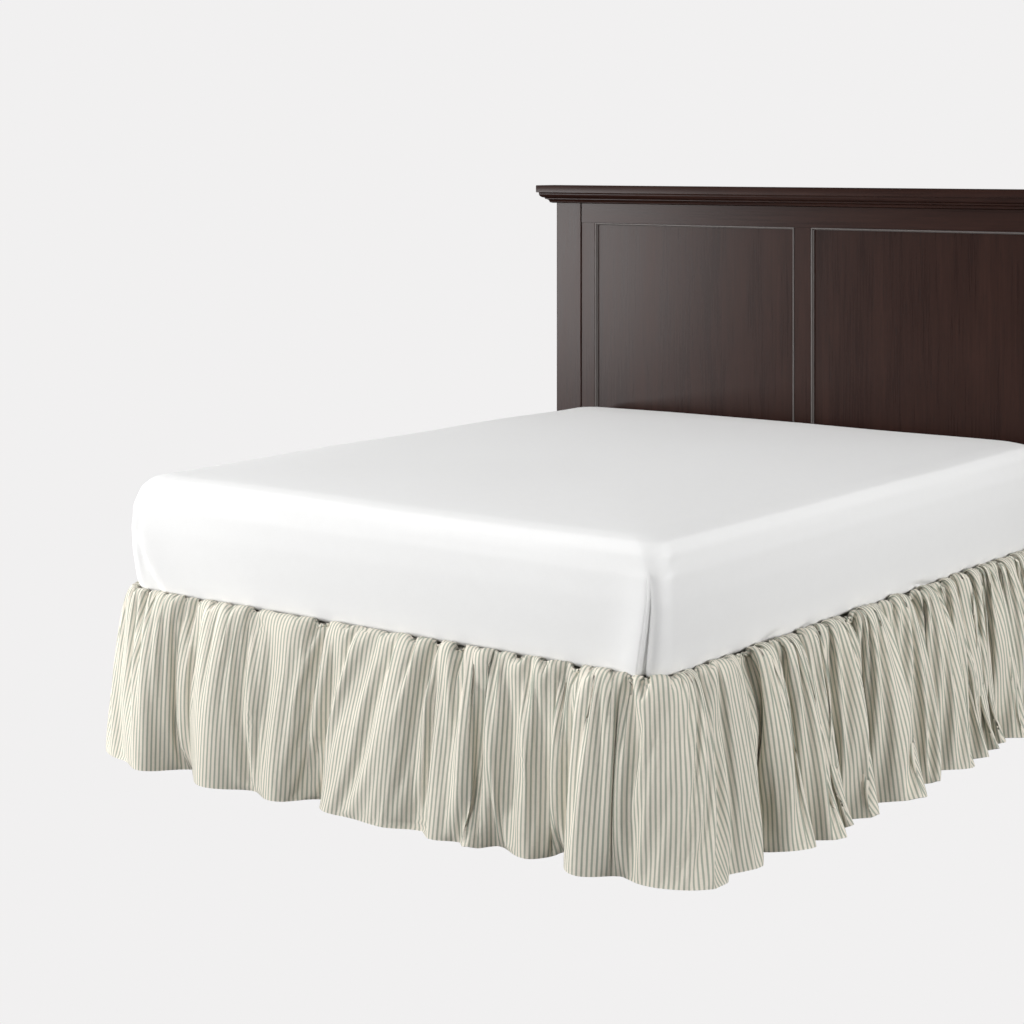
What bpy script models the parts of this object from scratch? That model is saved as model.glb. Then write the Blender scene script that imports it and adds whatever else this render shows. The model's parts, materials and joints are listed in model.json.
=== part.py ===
"""A gathered bed skirt hanging on a queen bed: deck, ruffle, and the plain bed that carries them.

Metres, +Z up.  X runs across the bed, +Y points to the headboard, and the floor is z = 0.
The origin is the middle of the whole object's footprint, on the floor.
"""
from collections import namedtuple
from math import cos, pi, radians, sin

import bmesh
import bpy
from mathutils import Vector

# ---------------------------------------------------------------- driving sizes
BED_WIDTH = 1.524             # queen, 60 in
BED_LENGTH = 2.032            # queen, 80 in
FOOT_Y = -1.000               # foot edge of the deck; the ruffle swings out in front of it
HEAD_Y = FOOT_Y + BED_LENGTH
HALF_WIDTH = BED_WIDTH / 2
MIDDLE_Y = (FOOT_Y + HEAD_Y) / 2
GAP = 0.0003                  # clearance between touching pieces

CLOTH = 0.002                 # deck and ruffle cloth
SKIRT_DROP = 0.400            # top of the deck above the floor
HEM_HEIGHT = 0.007            # lowest edge of the hem above the floor
CORNER_RADIUS = 0.055         # plan corner of the deck

GLIDE_HEIGHT = 0.020
ANGLE_STEEL = 0.003           # wall of the frame's L sections
RAIL_FLANGE = 0.038
CROSS_FLANGE = 0.030
SEAT_HEIGHT = 0.175           # top of the frame's flat flanges
BOX_HALF_WIDTH = 0.750
BOX_CORNER = 0.050
MATTRESS_HEIGHT = 0.290

HEADBOARD_GAP = 0.041         # from the deck's head end to the posts' front
POST_INNER_X = 0.7885
POST_WIDTH = 0.095
POST_DEPTH = 0.055
CORNICE_BOTTOM = 1.3287
HEADBOARD_TOP = 1.386
FRAME_SETBACK = 0.003         # rails and stiles behind the posts' front
FRAME_THICKNESS = 0.028
TOP_RAIL_BOTTOM = 1.2665
BOTTOM_RAIL = (0.300, 0.400)
STILE_WIDTH = 0.0515
MID_STILE_HALF = 0.0275
PANEL_SETBACK = 0.011
PANEL_THICKNESS = 0.012


def clear_scene():
    for thing in list(bpy.data.objects):
        bpy.data.objects.remove(thing, do_unlink=True)


def material(name, colour, roughness, metallic=0.0):
    made = bpy.data.materials.new(name)
    made.use_nodes = True
    shader = made.node_tree.nodes["Principled BSDF"]
    shader.inputs["Base Color"].default_value = (*colour, 1.0)
    shader.inputs["Roughness"].default_value = roughness
    shader.inputs["Metallic"].default_value = metallic
    return made


FINISHES = {
    "ticking": ((0.60, 0.56, 0.47), 0.90, 0.0),
    "deck_cloth": ((0.80, 0.78, 0.73), 0.90, 0.0),
    "sheet": ((0.86, 0.86, 0.86), 0.85, 0.0),
    "box_cloth": ((0.78, 0.76, 0.72), 0.90, 0.0),
    "espresso": ((0.045, 0.030, 0.027), 0.42, 0.0),
    "steel": ((0.05, 0.05, 0.05), 0.45, 0.9),
    "glide_plastic": ((0.03, 0.03, 0.03), 0.55, 0.0),
}


def add_object(name, bm, finish):
    """Turn a bmesh into a named object with its own material."""
    bmesh.ops.recalc_face_normals(bm, faces=bm.faces[:])
    mesh = bpy.data.meshes.new(name)
    bm.to_mesh(mesh)
    bm.free()
    mesh.materials.append(material(name + "_" + finish, *FINISHES[finish]))
    thing = bpy.data.objects.new(name, mesh)
    bpy.context.scene.collection.objects.link(thing)
    return thing


# ---------------------------------------------------------------- shared shapes
def rounded_rectangle(half_x, half_y, radius, corner_steps):
    """Plan outline, anticlockwise, centred on zero."""
    outline = []
    for quarter in range(4):
        turn = quarter * pi / 2
        side_x = 1 if quarter in (0, 3) else -1
        side_y = 1 if quarter in (0, 1) else -1
        for step in range(corner_steps + 1):
            angle = turn + step / corner_steps * pi / 2
            x = side_x * (half_x - radius) + radius * cos(angle)
            y = side_y * (half_y - radius) + radius * sin(angle)
            outline.append((x, y))
    return outline


def stacked(sections):
    """Bridge plan outlines, each (outline, height), from bottom to top and cap both ends."""
    bm = bmesh.new()
    rings = []
    for outline, height in sections:
        ring = [bm.verts.new((x, y, height)) for x, y in outline]
        rings.append(ring)
    for lower, upper in zip(rings, rings[1:]):
        for index, vert in enumerate(lower):
            after = (index + 1) % len(lower)
            bm.faces.new((vert, lower[after], upper[after], upper[index]))
    bm.faces.new(rings[0][::-1])
    bm.faces.new(rings[-1])
    return bm


def board(name, x_range, y_range, z_range, finish, ease=0.0):
    """A straight board, with its long edges eased when asked."""
    bm = bmesh.new()
    bmesh.ops.create_cube(bm, size=1.0)
    for vert in bm.verts:
        share = vert.co + Vector((0.5, 0.5, 0.5))
        vert.co.x = x_range[0] + share.x * (x_range[1] - x_range[0])
        vert.co.y = y_range[0] + share.y * (y_range[1] - y_range[0])
        vert.co.z = z_range[0] + share.z * (z_range[1] - z_range[0])
    if ease:
        bmesh.ops.bevel(bm, geom=bm.edges[:], offset=ease, segments=1, profile=0.5,
                        affect="EDGES", material=-1)
    return add_object(name, bm, finish)


# ---------------------------------------------------------------- the ruffle
# The seam is measured as a run along the deck's edge from the middle of the foot,
# to the right as plus.  Each row is one fold at the hem: where its trough and its crest
# lie on the run, how far each swings out from the deck's edge, and how far the flank
# between them bows back under the crest.
Fold = namedtuple("Fold", "trough_at trough_swing crest_at crest_swing bow")
FOOT_FOLDS = (
    Fold(-0.715, 0.082, -0.610, 0.125, 0.000),
    Fold(-0.515, 0.040, -0.395, 0.129, 0.012),
    Fold(-0.285, 0.076, -0.200, 0.111, 0.004),
    Fold(-0.120, 0.028, -0.045, 0.100, 0.012),
    Fold(0.010, 0.093, 0.105, 0.101, 0.000),
    Fold(0.198, 0.067, 0.248, 0.101, 0.004),
    Fold(0.308, 0.078, 0.345, 0.106, 0.004),
    Fold(0.392, 0.046, 0.480, 0.081, 0.004),
    Fold(0.538, 0.012, 0.622, 0.108, 0.016),
    Fold(0.700, 0.049, 0.772, 0.135, 0.000),
)
SIDE_FOLDS = (
    Fold(0.832, 0.098, 0.915, 0.132, 0.000),
    Fold(1.040, 0.040, 1.086, 0.170, 0.046),
    Fold(1.128, 0.072, 1.180, 0.195, 0.016),
    Fold(1.222, 0.104, 1.250, 0.176, 0.000),
    Fold(1.286, 0.088, 1.350, 0.186, 0.000),
    Fold(1.440, 0.064, 1.535, 0.214, 0.010),
    Fold(1.636, 0.102, 1.672, 0.183, 0.000),
    Fold(1.800, 0.050, 1.875, 0.183, 0.042),
    Fold(1.930, 0.082, 1.985, 0.172, 0.008),
    Fold(2.030, 0.094, 2.062, 0.168, 0.000),
    Fold(2.090, 0.088, 2.118, 0.160, 0.000),
    Fold(2.155, 0.066, 2.205, 0.180, 0.010),
    Fold(2.278, 0.058, 2.350, 0.172, 0.014),
    Fold(2.425, 0.062, 2.490, 0.158, 0.010),
    Fold(2.562, 0.052, 2.635, 0.168, 0.012),
    Fold(2.705, 0.070, 2.7604, 0.118, 0.000),
)
LEFT_CORNER = Fold(-0.850, 0.078, -0.775, 0.084, 0.000)
LEFT_END = (-2.760, 0.118, 0.0)

# From the seam down: height, how far the gathered shoulder stands out, the share of each
# fold's swing that shows at that height, and how much further its crest stands out and
# its trough draws in, because below the seam the folds are deep before they flare.
Level = namedtuple("Level", "height shoulder share relief")
LEVELS = (
    Level(0.3990, 0.0006, 0.00, 0.000),
    Level(0.4005, 0.0105, 0.00, 0.001),
    Level(0.3970, 0.0190, 0.02, 0.005),
    Level(0.3600, 0.0230, 0.14, 0.013),
    Level(0.2700, 0.0180, 0.40, 0.014),
    Level(0.1400, 0.0080, 0.72, 0.008),
    Level(HEM_HEIGHT, 0.0000, 1.00, 0.000),
)
LONG_FLANK = 0.055            # flanks longer than this take one more step
CORNER_ARC = CORNER_RADIUS * pi / 2
FOOT_STRAIGHT = HALF_WIDTH - CORNER_RADIUS
SIDE_START = FOOT_STRAIGHT + CORNER_ARC
SIDE_END = SIDE_START + BED_LENGTH - CORNER_RADIUS


def seam_point(run):
    """Place on the deck's edge and the outward direction there, for a run along the seam."""
    side = 1 if run >= 0 else -1
    distance = abs(run)
    if distance <= FOOT_STRAIGHT:
        return Vector((run, FOOT_Y)), Vector((0, -1))
    if distance >= SIDE_START:
        y = FOOT_Y + CORNER_RADIUS + distance - SIDE_START
        return Vector((side * HALF_WIDTH, y)), Vector((side, 0))
    angle = (distance - FOOT_STRAIGHT) / CORNER_RADIUS
    outward = Vector((side * sin(angle), -cos(angle)))
    middle = Vector((side * FOOT_STRAIGHT, FOOT_Y + CORNER_RADIUS))
    return middle + outward * CORNER_RADIUS, outward


def turning_points():
    """Troughs and crests from the left head end, round the foot, to the right head end."""
    points = [LEFT_END]
    ends = SIDE_START + SIDE_END
    for fold in SIDE_FOLDS[:-1]:                 # the left side carries the same folds,
        points.append((fold.trough_at - ends, fold.trough_swing, 0.0))      # head end first
        points.append((fold.crest_at - ends, fold.crest_swing, fold.bow))
    for fold in (LEFT_CORNER,) + FOOT_FOLDS + SIDE_FOLDS:
        points.append((fold.trough_at, fold.trough_swing, 0.0))
        points.append((fold.crest_at, fold.crest_swing, fold.bow))
    return points


def stations():
    """Columns of the cloth: (run, swing, sideways bow) at the hem and the side of the fold,
    from -1 in a trough to 1 on a crest."""
    columns = []
    points = turning_points()
    for number, (before, after) in enumerate(zip(points, points[1:])):
        length = after[0] - before[0]
        rising = 1 if number % 2 else -1         # the first point of all is a crest
        steps = 4 if length > LONG_FLANK else 3
        for step in range(steps):
            share = step / steps
            ease = (1 - cos(pi * share)) / 2
            run = before[0] + length * share
            swing = before[1] + (after[1] - before[1]) * ease
            columns.append((run, swing, -after[2] * sin(pi * share), -rising * cos(pi * share)))
    columns.append((points[-1][0], points[-1][1], 0.0, 1.0))
    return columns


def make_ruffle():
    columns = stations()
    bm = bmesh.new()
    bmesh.ops.create_grid(bm, x_segments=len(columns) - 1, y_segments=len(LEVELS) - 1, size=0.5)
    for vert in bm.verts:
        run, swing, bow, side = columns[round((vert.co.x + 0.5) * (len(columns) - 1))]
        level = LEVELS[round((0.5 - vert.co.y) * (len(LEVELS) - 1))]
        seam, outward = seam_point(run)
        along = Vector((-outward.y, outward.x))
        out = level.shoulder + swing * level.share + side * level.relief
        place = seam + outward * out + along * bow * level.share
        vert.co = (place.x, place.y, level.height)
    for face in bm.faces:
        face.smooth = True
    ruffle = add_object("ruffle", bm, "ticking")
    thicken = ruffle.modifiers.new("cloth thickness", "SOLIDIFY")
    thicken.thickness = CLOTH
    thicken.offset = 0.0
    return ruffle


def make_deck():
    """The flat panel under the mattress; its corners turn at the ruffle's own columns."""
    corner_runs = [row[0] for row in stations() if FOOT_STRAIGHT < abs(row[0]) < SIDE_START]
    corner_runs += [side * turn for side in (-1, 1) for turn in (FOOT_STRAIGHT, SIDE_START)]
    plan = [seam_point(run)[0].to_tuple() for run in sorted(corner_runs)]
    plan += [(HALF_WIDTH, HEAD_Y), (-HALF_WIDTH, HEAD_Y)]
    return add_object("deck", stacked([(plan, SKIRT_DROP - CLOTH), (plan, SKIRT_DROP)]),
                      "deck_cloth")


# ---------------------------------------------------------------- mattress and box spring
def make_mattress():
    """A filled slab: drawn-in bottom edge, soft rolled top edge, and a low crown."""
    base = SKIRT_DROP + GAP
    Slice = namedtuple("Slice", "inset height radius")
    slices = (
        Slice(0.034, 0.000, 0.050),
        Slice(0.020, 0.005, 0.060),
        Slice(0.008, 0.018, 0.070),
        Slice(0.002, 0.045, 0.074),
        Slice(-0.003, 0.120, 0.076),
        Slice(-0.002, 0.190, 0.076),
        Slice(0.003, 0.245, 0.074),
        Slice(0.012, 0.270, 0.070),
        Slice(0.026, 0.283, 0.064),
        Slice(0.055, MATTRESS_HEIGHT, 0.056),
        Slice(0.140, MATTRESS_HEIGHT + 0.004, 0.060),
        Slice(0.300, MATTRESS_HEIGHT + 0.009, 0.080),
        Slice(0.520, MATTRESS_HEIGHT + 0.012, 0.100),
    )
    sections = []
    for row in slices:
        half_length = BED_LENGTH / 2 + 0.006 - row.inset
        plan = rounded_rectangle(HALF_WIDTH - row.inset, half_length, row.radius, 6)
        plan = [(x, y + MIDDLE_Y + 0.006) for x, y in plan]
        sections.append((plan, base + row.height))
    mattress = add_object("mattress", stacked(sections), "sheet")
    mattress.data.shade_smooth()
    return mattress


def make_box_spring():
    edge = 0.010
    low = SEAT_HEIGHT + GAP
    high = SKIRT_DROP - CLOTH - GAP
    sections = []
    for inset, height in ((edge, low), (0, low + edge), (0, high - edge), (edge, high)):
        plan = rounded_rectangle(BOX_HALF_WIDTH - inset, BED_LENGTH / 2 - 0.010 - inset,
                                 BOX_CORNER - inset / 2, 6)
        sections.append(([(x, y + MIDDLE_Y) for x, y in plan], height))
    return add_object("box_spring", stacked(sections), "box_cloth")


# ---------------------------------------------------------------- steel frame
def angle_bar(name, corner, along, inward, drop, length, flange):
    """An L section: a flat flange at seat height and an upright one, up or down, on its corner."""
    bm = bmesh.new()
    profile = ((0, 0), (flange, 0), (flange, -ANGLE_STEEL), (ANGLE_STEEL, -ANGLE_STEEL),
               (ANGLE_STEEL, -flange), (0, -flange))
    if drop < 0:                                 # upright flange rises past the flat one
        lift = flange - ANGLE_STEEL
        profile = ((0, lift), (ANGLE_STEEL, lift), (ANGLE_STEEL, 0), (flange, 0),
                   (flange, -ANGLE_STEEL), (0, -ANGLE_STEEL))
    start = [bm.verts.new(corner + inward * across + Vector((0, 0, height)))
             for across, height in profile]
    face = bm.faces.new(start)
    grown = bmesh.ops.extrude_face_region(bm, geom=[face])
    ends = [item for item in grown["geom"] if isinstance(item, bmesh.types.BMVert)]
    bmesh.ops.translate(bm, verts=ends, vec=along * length)
    return add_object(name, bm, "steel")


LEG_SIDE = 0.028
LEG_X = 0.7345
END_CROSS_OFFSET = 0.150      # the end cross bars, in from the box spring's ends
BRACKET_THICKNESS = 0.004


def make_steel_frame():
    rail_x = BOX_HALF_WIDTH + GAP + ANGLE_STEEL
    post_front = HEAD_Y + HEADBOARD_GAP
    rail_end = post_front - GAP - BRACKET_THICKNESS - GAP
    rail_start = FOOT_Y + 0.030
    for name, side in (("left", -1), ("right", 1)):
        angle_bar("frame_rail_" + name, Vector((side * rail_x, rail_start, SEAT_HEIGHT)),
                  Vector((0, 1, 0)), Vector((-side, 0, 0)), -1, rail_end - rail_start,
                  RAIL_FLANGE)
        outer = side * (POST_INNER_X + 0.070)
        inner = side * (rail_x - RAIL_FLANGE)
        board("headboard_bracket_" + name, sorted((outer, inner)),
              (rail_end + GAP, rail_end + GAP + BRACKET_THICKNESS), (0.130, 0.290), "steel")
    cross_reach = rail_x - RAIL_FLANGE - GAP
    places = {"foot": FOOT_Y + END_CROSS_OFFSET, "middle": MIDDLE_Y, "head": HEAD_Y - END_CROSS_OFFSET}
    for name, y in places.items():
        angle_bar("frame_cross_" + name, Vector((-cross_reach, y, SEAT_HEIGHT)),
                  Vector((1, 0, 0)), Vector((0, 1, 0)), 1, 2 * cross_reach, CROSS_FLANGE)
    feet = {
        "foot_left": (-LEG_X, places["foot"], ANGLE_STEEL),
        "foot_right": (LEG_X, places["foot"], ANGLE_STEEL),
        "head_left": (-LEG_X, places["head"], ANGLE_STEEL),
        "head_right": (LEG_X, places["head"], ANGLE_STEEL),
        "centre": (0.0, MIDDLE_Y, CROSS_FLANGE),
    }
    half = LEG_SIDE / 2
    for name, (x, y, below_seat) in feet.items():
        board("frame_leg_" + name, (x - half, x + half), (y - half, y + half),
              (GLIDE_HEIGHT + GAP, SEAT_HEIGHT - below_seat - GAP), "steel")
        bm = bmesh.new()
        bmesh.ops.create_cone(bm, cap_ends=True, segments=24, radius1=0.024, radius2=0.020,
                              depth=GLIDE_HEIGHT)
        bmesh.ops.translate(bm, verts=bm.verts, vec=(x, y, GLIDE_HEIGHT / 2))
        add_object("glide_" + name, bm, "glide_plastic")


# ---------------------------------------------------------------- headboard
def make_headboard():
    front = HEAD_Y + HEADBOARD_GAP
    frame_front = front + FRAME_SETBACK
    frame_depth = (frame_front, frame_front + FRAME_THICKNESS)
    reach = POST_INNER_X - GAP
    stile_inner = reach - STILE_WIDTH
    rail_top = CORNICE_BOTTOM - GAP
    between = (BOTTOM_RAIL[1] + GAP, TOP_RAIL_BOTTOM - GAP)
    for name, side in (("left", -1), ("right", 1)):
        outer = side * (POST_INNER_X + POST_WIDTH)
        board("headboard_post_" + name, sorted((side * POST_INNER_X, outer)),
              (front, front + POST_DEPTH), (0.0, rail_top), "espresso", ease=0.0025)
        board("headboard_stile_" + name, sorted((side * reach, side * stile_inner)),
              frame_depth, between, "espresso", ease=0.0020)
        panel_front = front + PANEL_SETBACK
        inner = MID_STILE_HALF + GAP
        board("headboard_panel_" + name, sorted((side * inner, side * (stile_inner - GAP))),
              (panel_front, panel_front + PANEL_THICKNESS), between, "espresso")
    board("headboard_top_rail", (-reach, reach), frame_depth, (TOP_RAIL_BOTTOM, rail_top),
          "espresso", ease=0.0015)
    board("headboard_bottom_rail", (-reach, reach), frame_depth, BOTTOM_RAIL,
          "espresso", ease=0.0015)
    board("headboard_mid_stile", (-MID_STILE_HALF, MID_STILE_HALF), frame_depth, between,
          "espresso", ease=0.0015)


def make_cornice():
    """The crown: a fillet over a cove and an ovolo, returned along both ends."""
    Moulding = namedtuple("Moulding", "below_top overhang")
    steps = [Moulding(0.0573, 0.008), Moulding(0.0560, 0.013)]
    for index in range(5):                       # ovolo
        angle = radians(90 * index / 4)
        steps.append(Moulding(0.0545 - 0.010 * sin(angle), 0.027 - 0.011 * cos(angle)))
    steps.append(Moulding(0.0420, 0.027))
    for index in range(5):                       # cove
        angle = radians(90 * index / 4)
        steps.append(Moulding(0.0400 - 0.012 * (1 - cos(angle)), 0.028 + 0.013 * sin(angle)))
    steps += [Moulding(0.0235, 0.0415), Moulding(0.0230, 0.0480), Moulding(0.0015, 0.0480),
              Moulding(0.0000, 0.0465)]
    front = HEAD_Y + HEADBOARD_GAP
    back = front + POST_DEPTH
    half = POST_INNER_X + POST_WIDTH
    sections = []
    for row in steps:
        out = row.overhang
        plan = [(half + out, back), (-half - out, back), (-half - out, front - out),
                (half + out, front - out)]
        sections.append((plan, HEADBOARD_TOP - row.below_top))
    return add_object("headboard_cornice", stacked(sections), "espresso")


clear_scene()
make_deck()
make_ruffle()
make_mattress()
make_box_spring()
make_steel_frame()
make_headboard()
make_cornice()
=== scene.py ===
# %% [markdown]
# # A gathered bed skirt on a queen bed
#
# A bed skirt is a flat cloth deck that lies between mattress and box spring, with a long
# gathered strip, the ruffle, sewn round three of its edges so that it hangs to the floor.
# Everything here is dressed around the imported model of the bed, which is loaded as a fixed
# frame. Positions are read from the frame's boxes, so every piece lands where it belongs.

import json
from collections import namedtuple
from math import cos, pi, radians, sin

import bmesh
import bpy
import numpy as np
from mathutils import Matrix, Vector


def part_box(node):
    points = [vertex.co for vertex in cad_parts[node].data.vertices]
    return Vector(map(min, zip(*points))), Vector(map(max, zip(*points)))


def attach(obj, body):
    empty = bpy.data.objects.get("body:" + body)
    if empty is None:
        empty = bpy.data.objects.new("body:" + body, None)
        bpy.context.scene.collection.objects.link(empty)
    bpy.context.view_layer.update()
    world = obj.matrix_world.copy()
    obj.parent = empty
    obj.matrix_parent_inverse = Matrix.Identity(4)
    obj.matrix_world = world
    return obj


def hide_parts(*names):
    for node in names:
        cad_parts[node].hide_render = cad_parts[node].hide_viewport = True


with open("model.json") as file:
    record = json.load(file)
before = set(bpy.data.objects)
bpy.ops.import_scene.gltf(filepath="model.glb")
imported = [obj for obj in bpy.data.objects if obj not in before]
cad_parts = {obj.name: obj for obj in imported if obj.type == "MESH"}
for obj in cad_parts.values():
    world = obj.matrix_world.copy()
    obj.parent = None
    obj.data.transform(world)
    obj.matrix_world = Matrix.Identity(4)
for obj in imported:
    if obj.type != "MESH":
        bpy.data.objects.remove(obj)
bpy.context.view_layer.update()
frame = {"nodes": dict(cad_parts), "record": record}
scene = bpy.context.scene


def corners(node):
    """Lowest and highest corner of a node of the frame."""
    return [Vector(corner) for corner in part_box(node)]


deck_low, deck_high = corners("deck")
print("deck from", tuple(deck_low), "to", tuple(deck_high))

# %% [markdown]
# ## Camera
#
# A long lens held level keeps the posts and the folds upright. Because the lens isn't
# tipped down, the picture is framed lower by shifting the lens instead, as on a view
# camera.

# %% Place the camera
CAMERA_PLACE = (3.0714, -4.8291, 1.4731)
CAMERA_TURN = radians(39.19)
lens = bpy.data.cameras.new("product_camera")
lens.sensor_width = 36.0
lens.lens = 76.29
lens.shift_x = 0.1556
lens.shift_y = -0.3452
camera = bpy.data.objects.new("product_camera", lens)
camera.location = CAMERA_PLACE
camera.rotation_euler = (pi / 2, 0, CAMERA_TURN)
scene.collection.objects.link(camera)
scene.camera = camera
scene.view_settings.view_transform = "Standard"
print("camera at", CAMERA_PLACE, "with a lens of", round(lens.lens, 1), "mm")

# %% [markdown]
# ## Studio
#
# Pale cloth on a pale floor needs soft light from several sides, or the folds go black.
# The key softbox stands low and tall at the front left, with a second one on the left and a
# weaker one before the foot. Two small ones light the right side along its folds, so that
# each has a light and a dark flank, one hangs overhead, and a dim dome fills the rest. The
# camera sees backdrop and floor as one flat tone, as in a cut-out product picture, while
# for the light itself the floor is a matt dark grey that throws little of it back up.

# %% Small helpers for meshes and node trees
def finish_mesh(name, bm):
    """An object in the scene made from a bmesh, which is freed."""
    mesh = bpy.data.meshes.new(name)
    bm.to_mesh(mesh)
    bm.free()
    piece = bpy.data.objects.new(name, mesh)
    scene.collection.objects.link(piece)
    return piece


def new_material(name):
    """A material with an empty node tree, and that tree."""
    made = bpy.data.materials.new(name)
    made.use_nodes = True
    made.node_tree.nodes.clear()
    return made, made.node_tree


def add_node(tree, kind, operation=None, **inputs):
    """A new node, with plain values for some of its inputs."""
    made = tree.nodes.new("ShaderNode" + kind)
    if operation:
        made.operation = operation
    for name, value in inputs.items():
        made.inputs[name.replace("_", " ")].default_value = value
    return made


def mix_shaders(tree, share, first, second):
    """The first shader node where the share is 0, the second where it is 1."""
    mix = add_node(tree, "MixShader")
    for socket, value in zip(mix.inputs, (share, first.outputs[0], second.outputs[0])):
        tree.links.new(value, socket)
    return mix


# %% Build the dome and the floor
BACKDROP = (0.880, 0.872, 0.872, 1)
DOME_TINT, DOME_STRENGTH = (0.97, 0.985, 1.0, 1), 0.12
FLOOR_BOUNCE = (0.06, 0.06, 0.06, 1)
FLOOR_RADIUS = 7.0
FADE_START, FADE_END = 1.9, 5.0     # distances from the middle between which the floor clears


def build_dome():
    """A world that lights with one strength and is seen with the backdrop's tone."""
    world = bpy.data.worlds.new("studio_dome")
    world.use_nodes = True
    tree = world.node_tree
    tree.nodes.clear()
    light = add_node(tree, "Background", Color=DOME_TINT, Strength=DOME_STRENGTH)
    seen = add_node(tree, "Background", Color=BACKDROP)
    ray = add_node(tree, "LightPath")
    mix = mix_shaders(tree, ray.outputs["Is Camera Ray"], light, seen)
    out = add_node(tree, "OutputWorld")
    tree.links.new(mix.outputs[0], out.inputs["Surface"])
    scene.world = world


def floor_material():
    """Backdrop tone for the camera, dark grey for the light, clear towards the rim."""
    made, tree = new_material("studio_floor")
    glow = add_node(tree, "Emission", Color=BACKDROP)
    matt = add_node(tree, "BsdfDiffuse", Color=FLOOR_BOUNCE)
    ray = add_node(tree, "LightPath")
    lit = mix_shaders(tree, ray.outputs["Is Camera Ray"], matt, glow)
    place = add_node(tree, "TexCoord")
    reach = add_node(tree, "VectorMath", "LENGTH")
    tree.links.new(place.outputs["Object"], reach.inputs[0])
    fade = add_node(tree, "MapRange", From_Min=FADE_START, From_Max=FADE_END)
    fade.interpolation_type = "SMOOTHSTEP"
    tree.links.new(reach.outputs["Value"], fade.inputs["Value"])
    clear = add_node(tree, "BsdfTransparent")
    mix = mix_shaders(tree, fade.outputs[0], lit, clear)
    out = add_node(tree, "OutputMaterial")
    tree.links.new(mix.outputs[0], out.inputs["Surface"])
    return made


def build_floor():
    """A disc that takes the light but is only a tone for the camera."""
    bm = bmesh.new()
    bmesh.ops.create_circle(bm, cap_ends=True, segments=64, radius=FLOOR_RADIUS)
    floor = finish_mesh("studio_floor", bm)
    floor.data.materials.append(floor_material())


build_dome()
build_floor()
print("a dome, and a floor that clears from", FADE_START, "to", FADE_END, "m")

# %% Place the softboxes
Softbox = namedtuple("Softbox", "name place target size power")
SOFTBOXES = (
    Softbox("key_softbox", (-4.62, -4.20, 1.00), (0, 0, 0.5), (1.3, 1.9), 220),
    Softbox("left_softbox", (-5.60, -1.10, 2.30), (0, 0, 0.4), (1.5, 1.5), 200),
    Softbox("foot_softbox", (0.50, -5.90, 1.80), (0, 0, 0.4), (1.5, 1.5), 130),
    Softbox("right_front_softbox", (5.60, -0.60, 1.60), (0, 0, 0.4), (1.3, 1.3), 119),
    Softbox("right_back_softbox", (5.55, 1.60, 1.85), (0, 0, 0.4), (1.3, 1.3), 85),
    Softbox("overhead_softbox", (0.00, -0.60, 4.60), (0, 0, 0.4), (2.6, 2.6), 60),
)


def build_softbox(row):
    """A rectangle of light turned to its target."""
    lamp = bpy.data.lights.new(row.name, "AREA")
    lamp.shape = "RECTANGLE"
    lamp.size, lamp.size_y = row.size
    lamp.energy = row.power
    stand = bpy.data.objects.new(row.name, lamp)
    stand.location = row.place
    aim = Vector(row.target) - Vector(row.place)
    stand.rotation_euler = aim.to_track_quat("-Z", "Y").to_euler()
    scene.collection.objects.link(stand)


for row in SOFTBOXES:
    build_softbox(row)
print(len(SOFTBOXES), "softboxes of", sum(row.power for row in SOFTBOXES), "W in all")

# %% [markdown]
# ## The ruffle's folds
#
# The real ruffle is one strip of cloth, nearly twice as long as the edge it is sewn to. It
# could be simulated from a flat strip, but then the folds would fall where they like. Here
# each big fold is a row in a table, read along the seam from the middle of the foot, with
# plus to the right: where it starts at the seam, where its trough and its crest lie at the
# hem, how far each swings out from the deck's edge, and how far the flank between them bows
# back under the crest. These are the folds of the frame's own ruffle. Along the left side
# the right side's folds come again, in the same order.

# %% Write down the big folds
Fold = namedtuple("Fold", "top_at trough_at trough_swing crest_at crest_swing bow")
LEFT_CORNER = Fold(-0.856, -0.850, 0.078, -0.775, 0.084, 0.000)
FOOT_FOLDS = (
    Fold(-0.728, -0.715, 0.082, -0.610, 0.125, 0.000),
    Fold(-0.534, -0.515, 0.040, -0.395, 0.129, 0.012),
    Fold(-0.338, -0.285, 0.076, -0.200, 0.111, 0.004),
    Fold(-0.112, -0.120, 0.028, -0.045, 0.100, 0.012),
    Fold(0.034, 0.010, 0.093, 0.105, 0.101, 0.000),
    Fold(0.192, 0.198, 0.067, 0.248, 0.101, 0.004),
    Fold(0.288, 0.308, 0.078, 0.345, 0.106, 0.004),
    Fold(0.358, 0.392, 0.046, 0.480, 0.081, 0.004),
    Fold(0.533, 0.538, 0.012, 0.622, 0.108, 0.016),
    Fold(0.690, 0.700, 0.049, 0.772, 0.135, 0.000),
)
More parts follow.
